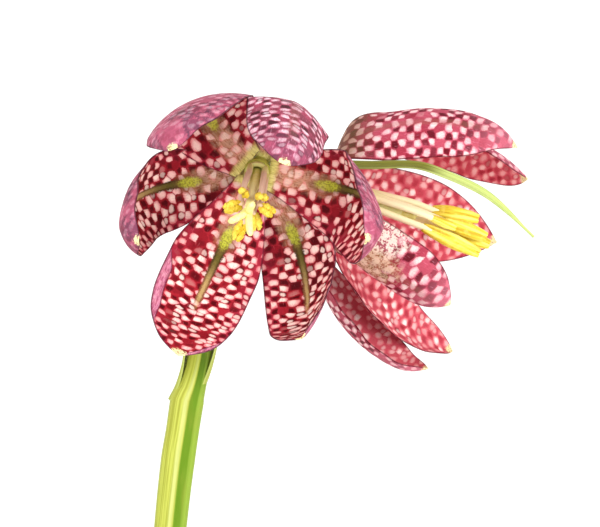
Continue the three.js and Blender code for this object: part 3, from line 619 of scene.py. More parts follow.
def cells(finish, settings, loose, scale):
    """The chequer's masks, from each point's place on its petal."""
    v, s, half = finish.values("place")
    t, seed, tone = finish.values("marks")
    across, off = v * half, abs(v)

    def cloud(close_across, close_along, spread, detail, start=0.0):
        """Noise about zero, drawn out along the petal or across it."""
        spot = finish.join(across * close_across, s * close_along, seed * spread + start)
        return finish.cloud(spot, 1.0, detail) - 0.5

    slow, drift = cloud(0.20, 0.16, 5.3, 1.0), cloud(0.20, 0.16, 3.1, 1.0, 9.0)
    wobble, grain = cloud(0.85, 0.85, 7.7, 2.0), cloud(2.6, 2.6, 4.7, 3.0)
    streak = cloud(4.4, 0.75, 2.9, 2.0)
    wide, long = settings.pitch / MM * scale, settings.row / MM * scale
    x = across * (0.80 + 0.20 * off) / wide + slow * 1.1 + wobble * 0.30 + grain * 0.10
    y = s * (0.78 + 0.22 * t) / long + drift * 1.2 + wobble * 0.26 - grain * 0.12
    edge, middle, second, (one, two, three) = finish.tiles(x, y, loose)
    return SimpleNamespace(v=v, s=s, half=half, t=t, tone=tone, edge=edge, middle=middle, second=second,
                           one=one, two=two, three=three, off=off, slow=slow, drift=drift, wobble=wobble,
                           grain=grain, streak=streak, length=s / t, margin=(1.0 - off) * half,
                           rib=abs(across + wobble * 0.3))


def spots(finish, c, soft, kept, few):
    """Light cells as soft round spots of several sizes, some left out, and a few small ones between them."""
    step = finish.step
    reach = c.middle + c.grain * 0.22 + c.streak * 0.14
    size = 0.51 + 0.22 * c.one
    light = (1.0 - c.second) * step(kept, kept - 0.06, c.two)
    light = light * step(soft, -soft, reach - size) * step(-0.02, soft, c.edge + c.grain * 0.06)
    return light + c.second * step(0.76, 0.84, c.one) * step(0.46, 0.24, reach) * few


def tip(finish, c, settings, radius):
    """The layer for the flecked cream spot at a petal's very tip."""
    left = c.length - c.s
    reach = (left * left + (c.v * c.half) ** 2.0) ** 0.5 + c.grain * 1.6
    flecked = finish.mix(finish.step(0.03, 0.13, c.grain) * 0.75, settings.tip, (0.30, 0.12, 0.05))
    return finish.step(radius * 1.15, radius * 0.8, reach), flecked


def throat(finish, c, strength):
    """Layers for the petal's root: pinkish tan with fine stripes and freckles, and green at the very foot."""
    step, mix = finish.step, finish.mix
    stripes = step(-0.10, 0.18, c.streak)
    freckle = step(0.05, 0.14, c.wobble * 0.6 + c.grain)
    tan = finish.coats((0.78, 0.46, 0.31), (stripes, (0.50, 0.25, 0.13)),
                       (freckle * 0.6, (0.27, 0.060, 0.03)))
    root = step(0.36, 0.20, c.t + c.wobble * 0.12) * step(3.2, 1.3, c.rib + c.wobble * 2.0)
    foot = step(0.052, 0.022, c.t + c.wobble * 0.02)
    green = mix(stripes, (0.80, 0.74, 0.24), (0.54, 0.50, 0.12))
    return [(root * (0.66 - strength * 0.30), tan), (foot * 0.9, green)]


def rib_and_nectary(finish, c, settings):
    """Layers for the rib, dark green inward and tan outward, and the lime nectary at its inner end."""
    step, mix = finish.step, finish.mix
    beside = c.rib / (1.0 - 0.95 * (c.t - 0.30)) + c.grain * 0.80 + c.streak * 0.5
    reach = step(0.27, 0.31, c.t) * step(0.70, 0.58, c.t + c.grain * 0.08)
    outward = step(0.36, 0.56, c.t + c.grain * 0.1)
    core = mix(outward, (0.105, 0.085, 0.016), (0.46, 0.30, 0.12))
    flank = mix(outward, (0.050, 0.030, 0.010), (0.20, 0.075, 0.035))
    along = (c.s - c.length * 0.275) / 2.2
    flesh, blob = (step(outer, inner, (along * along + (c.rib / width) ** 2.0) ** 0.5 + c.grain * rough)
                   for outer, inner, width, rough in ((2.1, 1.0, 1.5, 0.9), (1.45, 0.70, 1.05, 0.5)))
    lime = mix(step(-0.1, 0.15, c.grain), settings.rib, (0.26, 0.27, 0.03))
    return [(step(1.25, 0.80, beside) * reach, mix(step(0.80, 0.25, beside), flank, core)),
            (flesh * 0.55, (0.16, 0.075, 0.030)), (blob * 0.85, lime)]


def rolled_rim(finish, c, settings):
    """Layers for a band of the outer face that rolls over the margin, with a dark line along it."""
    step = finish.step
    left = step(-0.2, 0.2, c.v)
    upper = 2.0 * left * step(0.42, 0.55, c.t) * step(0.90, 0.72, c.t)
    lower = 1.1 * (1.0 - left) * step(0.80, 0.92, c.t)
    band = (upper + lower) * step(0.0, -0.7, c.tone) + c.grain * 0.25
    inner = step(0.10, -0.10, c.margin - band) * step(0.15, 0.4, band)
    line = step(0.24, 0.06, abs(c.margin - band)) * step(0.3, 0.6, band)
    skin = finish.mix(step(-0.15, 0.15, c.streak), settings.mauve, (0.66, 0.26, 0.38))
    return [(inner * 0.85, skin), (line * 0.8, settings.rim)]


def mottle(finish, c):
    """The layer of cloudy mauve and purple on petals whose chequer hardly shows outside."""
    cloudy = finish.step(-0.05, 0.08, c.drift * 0.8 + c.wobble * 0.6 + c.grain * 0.3)
    purple = finish.mix(cloudy, (0.58, 0.120, 0.20), (0.15, 0.050, 0.090))
    return [(finish.step(0.0, 0.55, c.tone) * 0.46, purple)]


def cream_patch(finish, c, strength):
    """Layers for the cream and olive patch on one petal's outside, where its chequer is worn thin."""
    step, mix = finish.step, finish.mix
    patch = c.t + c.wobble * 0.20 + c.drift * 0.1
    worn = c.tone * step(0.28, 0.36, patch)
    crumbs = c.grain + c.wobble * 0.6 + c.streak * 0.3
    upper = step(0.12, 0.38, c.v + c.wobble * 0.5) * step(0.64, 0.54, patch)
    cream = mix(step(-0.03, 0.09, crumbs), (0.94, 0.76, 0.66), (0.42, 0.10, 0.13))
    middle = step(0.62, 0.34, abs(c.v + 0.14)) * step(0.68, 0.58, patch)
    olive = mix(step(0.08, -0.08, crumbs - strength * 0.10), (0.36, 0.16, 0.07), (0.72, 0.50, 0.34))
    return [(worn * upper * 0.85, cream), (worn * middle * 0.75, olive)]


def inside_finish(name, settings):
    """Inside of a petal: soft pale cells on crimson and maroon. The side flower's are painted brighter, as
    painted light coming through them.
    """
    finish = Finish(f"{name}_petal_inside", 0.5, 0.04)
    step, mix = finish.step, finish.mix
    glow = name == "side"
    c = cells(finish, settings, 0.55, 1.28 if glow else 1.14)
    crimson = finish.coats(mix(c.three, settings.crimson, settings.scarlet),
                           (step(0.55, 0.95, c.off) * 0.5, settings.wine))
    if glow:
        depth, details = 0.0, []
        # Painted light: the side flower's ground and pale cells are painted pinker and brighter, and its
        # shaded lower petal (tone below 0) brighter still, for light coming through the petals.
        crimson = finish.coats(crimson, (0.12, settings.flush),
                               (step(0.0, -1.0, c.tone) * 0.55, (0.74, 0.16, 0.20)))
        ground = mix(c.second * step(0.0, 0.34, c.edge) * (0.35 + 0.65 * c.two), settings.flush, crimson)
        soft = step(0.80, 0.16, c.middle + c.grain * 0.2) * (0.35 + 0.70 * c.one)
        small = step(0.50, 0.15, c.middle) * c.second * step(0.7, 0.9, c.one)
        strength = (1.0 - c.second) * soft + small * 0.5
        pink, white = (0.94, 0.42, 0.42), (1.0, 0.82, 0.79)
    else:
        depth = step(0.0, 1.0, c.tone)
        heart = step(0.80, 0.25, c.off) * step(0.92, 0.70, c.t)
        deep = step(0.03, 0.30, c.edge) * step(0.05, 0.75, c.two + heart * 0.30 + depth * 0.35)
        clouded = step(0.02, 0.16, c.slow + c.wobble * 0.5) * (0.35 + 0.4 * depth)
        ground = finish.coats(crimson, (deep * c.second, settings.maroon), (clouded, settings.maroon))
        strength = spots(finish, c, 0.09, 0.95, 0.8)
        pink, white = settings.rose, settings.pale
        details = rib_and_nectary(finish, c, settings) + rolled_rim(finish, c, settings)
    whiteness = step(0.62, 0.20, c.middle) * (0.50 + 0.45 * c.one) + c.grain * 0.5 + depth * 0.1
    whiteness = whiteness - 0.30 * step(0.60, 0.95, c.off) - 0.2 * step(0.7, 0.95, c.t)
    base = finish.coats(
        mix(strength, ground, mix(whiteness, pink, white)),
        (step(0.09, 0.22, c.streak) * 0.30, settings.crimson),
        (step(0.12, 0.26, c.streak * -1.0) * 0.20, settings.rose),
        *throat(finish, c, strength), *details,
        (step(0.34, 0.10, c.margin) * 0.75, settings.rim), tip(finish, c, settings, 1.7))
    return finish.paint(base, strength * 0.45 + c.grain * 0.5 + c.streak * 0.4, 0.45, 0.50 + strength * 0.10)


OUTSIDES = {
    "front": SimpleNamespace(
        scale=1.14, ground=(0.46, 0.070, 0.130), other=(0.24, 0.050, 0.080), gap=(0.060, 0.014, 0.020),
        kept=0.90, few=0.6, dim=(0.62, 0.19, 0.27), light="lilac", cover=0.92, veins=0.30,
        ends=(0.27, 0.085, 0.15), root=(0.30, 0.14), tan=(0.42, 0.29, 0.17), tip=1.2),
    "side": SimpleNamespace(
        scale=1.3, ground=(0.34, 0.022, 0.045), other=(0.54, 0.085, 0.135), gap=(0.110, 0.005, 0.012),
        kept=0.95, few=0.0, dim=(0.72, 0.24, 0.31), light="blush", cover=0.95, veins=0.18,
        ends=(0.66, 0.20, 0.27), root=(0.42, 0.25), tan=(0.32, 0.18, 0.10), tip=1.5),
}


def outside_finish(name, settings):
    """Outside of a petal: the chequer shows through in mauve pink, with dark gaps and fine veins."""
    finish = Finish(f"{name}_petal_outside", 0.55, 0.05)
    step, mix, look = finish.step, finish.mix, OUTSIDES[name]
    c = cells(finish, settings, 0.42, look.scale)
    deep = step(0.0, 0.18, c.edge) * c.second * step(0.10, 0.70, c.two + c.slow * 0.6)
    ground = finish.coats(mix(c.three, look.ground, look.other), (deep * 0.95, look.gap))
    strength = spots(finish, c, 0.10, look.kept, look.few)
    whiteness = step(0.62, 0.18, c.middle) * (0.55 + 0.50 * c.one) + c.grain * 0.9
    cell = mix(whiteness, look.dim, getattr(settings, look.light))
    plain = step(0.0, 1.0, c.tone) if name == "front" else 0.0
    veins = step(0.08, 0.02, abs(c.streak))
    ends = step(0.70, 0.95, c.t)
    rib = step(1.3, 0.6, c.rib + c.grain * 0.6) * step(0.95, 0.75, c.t)
    blotch = step(0.02, 0.18, c.slow * 0.7 + c.wobble * 0.6)
    base = finish.coats(
        mix(strength * (look.cover - 0.42 * plain), ground, cell),
        (veins * look.veins, look.gap), (ends * 0.45, look.ends),
        (step(0.10, 0.24, c.streak) * (0.20 + 0.25 * ends), (0.82, 0.40, 0.54)),
        (rib * 0.3, (0.30, 0.13, 0.09)),
        *(mottle(finish, c) if name == "front" else cream_patch(finish, c, strength)),
        (blotch * (0.20 + 0.30 * plain), (0.22, 0.025, 0.045)),
        (step(*look.root, c.t + c.wobble * 0.12) * 0.78, mix(strength, (0.10, 0.052, 0.020), look.tan)),
        (step(0.36, 0.10, c.margin) * 0.8, look.gap), tip(finish, c, settings, look.tip))
    return finish.paint(base, strength * 0.3 + c.grain * 0.4 - veins * 0.4, 0.5, 0.55 + strength * 0.08)


class FRITILLARY_OT_petals(Operator):
    """Build the six petals of each flower"""
    bl_idname = "fritillary.petals"
    bl_label = "Petals"

    def execute(self, context):
        settings = context.scene.fritillary_petals
        thick = settings.thickness / MM
        seed = 0
        for name, flower in FLOWERS.items():
            finishes = [inside_finish(name, settings), outside_finish(name, settings)]
            for k, petal in enumerate(flower["petals"]):
                p = {**PETAL, **petal}
                shape = Shape()
                shape.blade(petal_rows(flower, p, seed),
                            lambda v, t: thick * (1 - 0.62 * v ** 4) * (1 - 0.5 * smooth(0.9, 1.0, t)),
                            seed * 0.37 + 0.13, p["tone"], (0, 1))
                node = f"{name}_flower_petal_{k + 1}"
                shape.make(f"{node}_chequered", finishes, node, "petal")
                seed += 1
        return {"FINISHED"}


class FRITILLARY_OT_stamens(Operator):
    """Build the stamens of each flower"""
    bl_idname = "fritillary.stamens"
    bl_label = "Stamens"

    def execute(self, context):
        settings = context.scene.fritillary_heart
        thread = self.thread_finish(settings)
        for name, flower in FLOWERS.items():
            dusty = name == "front"
            pollen = self.dusty_finish(settings) if dusty else self.striped_finish()
            shape, ring = Shape(), Shape()
            section = [(1.5, 0.45), (1.5, 0), (2.4, 0), (2.4, 0.9), (1.5, 0.9), (1.5, 0.47)]
            ring.lathe(rounded(section, 0.25, 3), 32, close=True)
            shape.add(along_flower(flower, HEART_FOOT, ring.points), ring.faces)
            for k, (low, high, size) in enumerate(flower["anthers"]):
                low, high = Vector(low), Vector(high)
                self.filament(shape, flower, low, high, dusty)
                self.anther(shape, flower, low, high, flower["anther_radius"] * size, k, dusty)
            shape.make(f"{name}_flower_stamens_fine", [thread, pollen], f"{name}_flower_stamens", "stamen")
        return {"FINISHED"}

    def thread_finish(self, settings):
        finish = Finish("filament", 0.45, 0.2)
        step, mix = finish.step, finish.mix
        t, lit, _ = finish.values("marks")
        shaded = mix(step(0.08, 0.3, t), (0.62, 0.60, 0.16), (0.66, 0.42, 0.30))
        cream = mix(step(0.1, 0.6, t), (0.80, 0.78, 0.34), settings.filament)
        streak = finish.cloud(finish.where(), 1.6, 3.0)
        base = finish.coats(shaded, (lit, cream), (streak * 0.3, (0.90, 0.84, 0.60)))
        return finish.paint(base, streak, 0.2)

    def dusty_finish(self, settings):
        """Opened anthers, thick with grains of pollen."""
        finish = Finish("front_anther", 0.62, 0.15)
        step, where = finish.step, finish.where()
        t, _, _ = finish.values("marks")
        grain = finish.cloud(where, 3.4, 3.0, 0.6)
        base = finish.coats(
            settings.pollen, (step(0.35, 0.65, finish.cloud(where, 0.45)), settings.pollen_light),
            (step(0.58, 0.68, grain) * 0.75, (0.42, 0.17, 0.01)),
            (step(0.42, 0.30, grain) * 0.5, (0.98, 0.86, 0.28)),
            (step(0.12, 0.0, t) * 0.5, (0.62, 0.46, 0.05)))
        return finish.paint(base, grain, 0.9)

    def striped_finish(self):
        """Smooth anthers with lengthwise streaks."""
        finish = Finish("side_anther", 0.5, 0.15)
        step = finish.step
        t, lobe, _ = finish.values("marks")
        x, y, along = finish.values("place")
        streak = finish.cloud(finish.join(x * 1.1 + lobe * 3.1, y * 1.1, along * 0.09))
        grain = finish.cloud(finish.where(), 0.8, 3.0, 0.6)
        base = finish.coats(
            (0.56, 0.36, 0.020), (step(0.34, 0.58, streak), (0.88, 0.72, 0.07)),
            (step(0.52, 0.66, streak) * 0.8, (0.95, 0.88, 0.22)),
            (step(0.48, 0.66, grain) * 0.25, (0.96, 0.90, 0.26)),
            (step(0.12, 0.0, t) * 0.5, (0.62, 0.46, 0.05)))
        return finish.paint(base, grain, 0.12)

    def filament(self, shape, flower, low, high, dusty):
        aim = low.xy.normalized()
        wide = max(FILAMENT_CLEAR, low.xy.length)
        points = [(*(aim * FILAMENT_FOOT), HEART_FOOT + 0.3), (*(aim * FILAMENT_FOOT), HEART_FOOT + 3),
                  (*(aim * (wide * 0.4 + FILAMENT_FOOT * 0.6)), low.z * 0.5), (*(aim * wide), low.z * 0.82),
                  low, low.lerp(high, 0.15)]
        girth = 0.62 if dusty else 0.80
        shape.tube([on_flower(flower, *p) for p in points], lambda t: girth - 0.1 * t, 30, 14,
                   mark=0.0 if dusty else 1.0)

    def anther(self, shape, flower, low, high, radius, k, dusty):
        """Two swollen lobes side by side, lumpy with pollen where they have opened."""
        ends = [on_flower(flower, *low.lerp(high, share)) for share in (0, 0.5, 1)]
        across = (ends[2] - ends[0]).cross(Vector((0.3, -1, 0.2))).normalized()
        across *= radius * (0.42 if dusty else 0.34)
        for sign in (-1, 1):
            def swell(t, sign=sign):
                body = math.sin(math.pi * min(1, max(0, 0.05 + 0.9 * t))) ** 0.5
                lump = 1 + (0.12 if dusty else 0.03) * math.sin(9 * t + k * 2.1 + sign)
                return radius * (0.62 if dusty else 0.72) * max(0.25, body) * lump

            points = [p + across * sign * bulge for p, bulge in zip(ends, (1, 1.15, 1))]
            shape.tube(points, swell, 26, 18, 1, mark=k * 2.0 + sign, rough=0.26 if dusty else 0.05)


class FRITILLARY_OT_pistils(Operator):
    """Build the pistil of each flower"""
    bl_idname = "fritillary.pistils"
    bl_label = "Pistils"

    def execute(self, context):
        material = self.finish(context.scene.fritillary_heart)
        for name, flower in FLOWERS.items():
            shape = Shape()
            style = flower["style"]
            (bx, by), length = style["bend"], style["length"]
            points = [(0, 0, HEART_FOOT), (0, 0, HEART_FOOT + 4), (bx * 0.35, by * 0.35, length * 0.6),
                      (bx, by, length)]
            shape.tube([on_flower(flower, *p) for p in points],
                       lambda t: 1.1 - 0.3 * smooth(0.3, 0.45, t) + 0.1 * smooth(0.7, 1, t), 40, 24)
            for x, y in style["arms"]:
                points = [(bx, by, length - 1.2), (bx + x * 0.35, by + y * 0.35, length + 1.6),
                          (bx + x, by + y, length + 3.2)]
                shape.tube([on_flower(flower, *p) for p in points],
                           lambda t: (0.78 - 0.14 * t) * (1 - 0.5 * smooth(0.88, 1, t)), 24, 16,
                           mark=1.0, rough=0.07)
            shape.make(f"{name}_flower_pistil_fine", [material], f"{name}_flower_pistil", "pistil")
        return {"FINISHED"}

    def finish(self, settings):
        finish = Finish("pistil", 0.38, 0.4)
        step = finish.step
        t, arm, _ = finish.values("marks")
        cloud = finish.cloud(finish.where(), 1.3, 3.0)
        base = finish.coats(
            (0.70, 0.72, 0.16), (step(0.15, 0.55, t), settings.pistil),
            (step(0.3, 0.7, arm), settings.stigma), (step(0.45, 0.75, cloud) * 0.35, (0.95, 0.90, 0.62)))
        return finish.paint(base, cloud, 0.3)


class FRITILLARY_OT_stem(Operator):
    """Build the stem with its two flower stalks"""
    bl_idname = "fritillary.stem"
    bl_label = "Stem"

    def execute(self, context):
        shape = Shape()
        self.shaft(shape)
        seat = Shape()
        section = [(0.5, -5), (1.6, -5), (1.9, -3), (2.6, -1.2), (2.6, 2.1), (2.3, 2.4), (0.5, 2.4)]
        seat.lathe(rounded(section, 0.8), 40)
        for name, (points, behind) in STALKS.items():
            flower = FLOWERS[name]
            shape.tube(points + [flower["at"] - flower["axis"] * k for k in behind],
                       lambda t: STALK_RADIUS * (1 + 0.12 * smooth(0.85, 1, t)), 60, 24, mark=0.6)
            shape.add(along_flower(flower, 0, seat.points), seat.faces, 0,
                      [(0.3, -0.9, p.z) for p in seat.points], [(0.0, 0.8, 0.0)] * len(seat.points))
        shape.make("stem_ribbed", [self.finish(context.scene.fritillary_greens)], "stem", "stem")
        return {"FINISHED"}

    def shaft(self, shape):
        """The flattened stem, with fine ribs and a groove above its foot."""
        rings, place = [], []
        for centre, along in course([middle for middle, wide, deep in STEM], 150)[0]:
            k = max(n for n in range(len(STEM) - 1) if STEM[n][0][2] <= centre.z + 1e-4)
            (low, wide, deep), (high, wider, deeper) = STEM[k], STEM[k + 1]
            share = min(1, max(0, (centre.z - low[2]) / (high[2] - low[2])))
            wide, deep = wide + (wider - wide) * share, deep + (deeper - deep) * share
            across = (X - along * along.x).normalized()
            back = along.cross(across)
            groove = 0.24 * smooth(90, 130, centre.z)
            ring = []
            for angle in turns(64):
                c, s = math.cos(angle), math.sin(angle)
                dip = 1 - groove * math.exp(-((c / 0.3) ** 2)) - 0.02 * math.cos(angle * 9)
                rib = 1 - 0.012 * math.cos(angle * 13)
                ring.append(centre + across * (wide / 2 * c * rib) + back * (deep / 2 * s * dip))
                place.append((c, s, centre.z))
            rings.append(ring)
        shape.loft(rings, 0, place)

    def finish(self, settings):
        finish = Finish("stem_skin", 0.42, 0.10)
        step, mix = finish.step, finish.mix
        place = across, _, height = finish.values("place")
        shaft = 1.0 - step(0.2, 0.5, finish.values("marks")[1])
        streak, fine = finish.strands(place, 9.0, 0.05, 3.0), finish.strands(place, 26.0, 0.09)
        patch = finish.strands(place, 1.2, 0.07)
        lean = across + (streak - 0.5) * 0.16
        right = step(0.10, 0.22, lean)
        # Painted shade: the stem is darker from 221 to 262 mm high, where it stands under the flowers.
        upper = step(221, 230, height) * step(262, 250, height)
        buried = step(88, 84, height)
        base = finish.coats(
            settings.stem, (step(0.38, 0.64, streak), settings.stem_light),
            # Painted highlight: a narrow pale glint along the stem, just left of its middle.
            (step(0.20, 0.04, abs(lean + 0.06)) * (0.35 + 0.4 * patch) * shaft, (0.60, 0.64, 0.24)),
            (right * 0.85 * shaft, settings.stem_right),
            (right * step(0.72, 0.54, lean) * 0.85 * shaft, settings.stem_dark),
            # Painted shade under the flowers, darkest on the stem's right half.
            (upper * shaft * 0.60, mix(right, (0.19, 0.22, 0.012), (0.030, 0.055, 0.002))),
            (step(0.52, 0.72, patch) * 0.22, (0.32, 0.28, 0.04)),
            (step(0.88, 0.99, abs(across)) * 0.25 * shaft, (0.36, 0.42, 0.10)),
            (buried * shaft, (0.62, 0.58, 0.36)))
        return finish.paint(base, fine + streak, 0.35, 0.38 + fine * 0.16)


class FRITILLARY_OT_leaves(Operator):
    """Build the narrow leaves"""
    bl_idname = "fritillary.leaves"
    bl_label = "Leaves"

    def execute(self, context):
        material = self.finish(context.scene.fritillary_greens)
        centres = [centre for centre, along in course([middle for middle, wide, deep in STEM], 400)[0]]

        def stem_at(height):
            return min(centres, key=lambda centre: abs(centre.z - height))

        for n, (name, (foot, side, width, kind, steps)) in enumerate(LEAVES.items()):
            angle = math.radians(side)
            out, aside = around(1, angle), around(1, angle + math.pi / 2)
            clasp = (width / 2 * 0.86) / math.radians(SHEATH)
            points = []
            for o, u, a in steps:
                follow = stem_at(foot + min(u, 24))
                start = Vector((follow.x, follow.y, stem_at(foot).z))
                points.append(start + out * (o + clasp + 0.15) + aside * a + Z * u)
            self.leaf(name, points, -out, width, 14, SHEATH, material, n, 0.35, kind)
        facing = Vector((-0.75, 0.1, 0.65)).normalized()
        self.leaf("leaf_upper", UPPER_LEAF, facing, UPPER_LEAF_WIDTH, 20, 40, material, 9, 0.7, UPPER)
        return {"FINISHED"}

    def leaf(self, name, points, facing, width, fold, sheath, material, seed, full, kind):
        """One leaf along a course. full is the share of its length where it starts to taper."""
        steps, columns = 90, 16
        found, length = course(points, steps)
        rows = []
        for i, (centre, along) in enumerate(found):
            t, row = i / steps, []
            facing = (facing - along * facing.dot(along)).normalized()
            across = along.cross(facing)
            taper = 1 - smooth(full, 1.02, t) ** 1.3
            half = max(0.22, width / 2 * (0.86 + 0.14 * smooth(0, 0.25, t)) * taper)
            cup = math.radians(fold + (sheath - fold) * (1 - smooth(0.03, 0.3, t)))
            radius = half / cup
            for v in (2 * j / columns - 1 for j in range(columns + 1)):
                wave = noise.noise(Vector((v * 0.7, t * 5.0, seed * 2.3)))
                rise = radius * (1 - math.cos(cup * v)) + wave * 0.25 * smooth(0.3, 0.6, t) * abs(v)
                row.append(centre + across * (radius * math.sin(cup * v)) + facing * rise)
            rows.append((row, t * length, t, half))
        shape = Shape()
        shape.blade(rows, lambda v, t: 0.5 * (1 - 0.5 * v ** 3), seed, kind, (0, 0))
        shape.make(f"{name}_veined", [material], name, "leaf")

    def finish(self, settings):
        finish = Finish("leaf_skin", 0.45, 0.07)
        step, mix = finish.step, finish.mix
        v, s, half = finish.values("place")
        t, seed, kind = finish.values("marks")
        veins = finish.cloud(finish.join(v * half * 3.2, s * 0.03, seed))
        patch = finish.cloud(finish.join(v * 0.8, s * 0.06, seed + 5.0))
        clasping = step(0.2, 0.4, kind) * step(0.8, 0.6, kind)
        upper = step(0.75, 0.95, kind)
        # Painted shade and painted light on the upper leaf: dark olive on its part near the stem, under the
        # flowers, and lit green on its outer part.
        dark = mix(step(0.4, 0.6, veins), (0.118, 0.132, 0.010), (0.22, 0.20, 0.030))
        lit = mix(step(0.35, 0.65, veins), (0.44, 0.53, 0.14), (0.58, 0.66, 0.21))
        base = finish.coats(
            settings.leaf, (step(0.4, 0.62, veins) * 0.4, settings.leaf_light),
            (step(0.45, 0.9, t) * 0.6, settings.leaf_light),
            (step(0.14, 0.02, abs(v)) * 0.35, settings.leaf_light),
            (clasping * step(0.65, 0.45, t), mix(veins, (0.24, 0.27, 0.03), (0.44, 0.46, 0.10))),
            # Painted shade and painted light on the upper leaf.
            (upper, mix(step(0.62, 0.71, t + (veins - 0.5) * 0.06), dark, lit)),
            (step(0.80, 0.97, abs(v)) * 0.5, mix(upper, (0.44, 0.52, 0.16), (0.28, 0.34, 0.11))),
            (step(0.55, 0.75, patch) * 0.2 * (1.0 - upper), (0.30, 0.30, 0.08)),
            (step(0.97, 1.0, t) * 0.7 * (1.0 - upper), (0.42, 0.28, 0.10)))
        return finish.paint(base, veins, 0.45, 0.36 + veins * 0.16)


class FRITILLARY_OT_pot(Operator):
    """Build the clay pot"""
    bl_idname = "fritillary.pot"
    bl_label = "Pot"

    def execute(self, context):
        settings = context.scene.fritillary_pot
        bore = RIM_RADIUS - WALL
        corners = [
            (0.6, FLOOR), (POT_BASE_RADIUS - WALL - 1, FLOOR), (POT_BASE_RADIUS - WALL + 1.6, FLOOR + 2.5),
            (POT_SHOULDER_RADIUS - WALL, NECK - 4), (bore - 1.6, NECK + 2), (bore - 0.6, POT_HEIGHT - 1.2),
            (bore + 0.4, POT_HEIGHT), (RIM_RADIUS - 1.4, POT_HEIGHT), (RIM_RADIUS, POT_HEIGHT - 1.6),
            (RIM_RADIUS - 1, NECK + 1), (RIM_RADIUS - 1.4, NECK), (POT_SHOULDER_RADIUS, NECK),
            (POT_BASE_RADIUS, 1.2), (POT_BASE_RADIUS - 1, 0), (0.6, 0),
        ]
        shape = Shape()
        shape.lathe(self.filled(rounded(corners, 0.9, 4), 2.2), settings.sides, self.ripple)
        self.drill(shape.make("pot_clay", [self.finish(settings)], "pot", "clay"))
        return {"FINISHED"}

    def filled(self, profile, gap):
        """A profile with points added, so that none are further apart than about the gap."""
        made = [profile[0]]
        for a, b in zip(profile, profile[1:]):
            count = max(1, round(math.dist(a, b) / gap))
            made += [tuple(p + (q - p) * k / count for p, q in zip(a, b)) for k in range(1, count + 1)]
        return made

    def ripple(self, angle, height):
        """The faint waves that a turning wheel leaves."""
        waves = 0.10 * math.sin(height * 1.35 + 0.5 * math.sin(angle))
        waves += 0.12 * noise.noise(around(1.6, angle, height * 0.05))
        return waves * smooth(1.5, 6, height) * smooth(POT_HEIGHT - 0.2, POT_HEIGHT - 3, height)

    def drill(self, piece):
        """Cuts the three drainage holes."""
        holes = Shape()
        for degrees in (30, 150, 270):
            part = Shape()
            part.lathe([(DRAIN_RADIUS, -3), (DRAIN_RADIUS, FLOOR + 3)], 32)
            holes.add([p + around(DRAIN_CIRCLE, math.radians(degrees)) for p in part.points], part.faces)
        mesh = mesh_of("drill", [p * MM for p in holes.points], holes.faces, soft=False)
        drill = put("drill", mesh)
        cut = piece.modifiers.new("holes", "BOOLEAN")
        cut.operation, cut.object, cut.solver = "DIFFERENCE", drill, "EXACT"
        bpy.context.view_layer.objects.active = piece
        with bpy.context.temp_override(object=piece, active_object=piece, selected_objects=[piece]):
            bpy.ops.object.modifier_apply(modifier=cut.name)
        bpy.data.objects.remove(drill)
        bpy.data.meshes.remove(mesh)

    def finish(self, settings):
        finish = Finish("fired_clay", 0.86, 0.25)
        step, where, place = finish.step, finish.where(), finish.values("place")
        broad, middle = finish.cloud(where, 0.045, 4.0, 0.6), finish.cloud(where, 0.22, 5.0, 0.65)
        fine, rings = finish.cloud(where, 2.2, 4.0, 0.6), finish.strands(place, 0.6, 1.1)
        base = finish.coats(
            settings.clay, (step(0.35, 0.7, middle), [k * 1.3 for k in settings.clay]),
            (step(0.52, 0.72, broad) * 0.55, settings.clay_dark),
            (step(0.52, 0.70, middle) * step(0.42, 0.62, broad) * 0.7, settings.lime),
            (step(0.62, 0.74, fine) * 0.3, settings.clay_dark),
            (step(26, 4, place[2] + middle * 18.0) * 0.5, settings.clay_dark))
        return finish.paint(base, fine * 0.5 + rings * 1.2 + middle, 0.5, 0.80 + fine * 0.15)


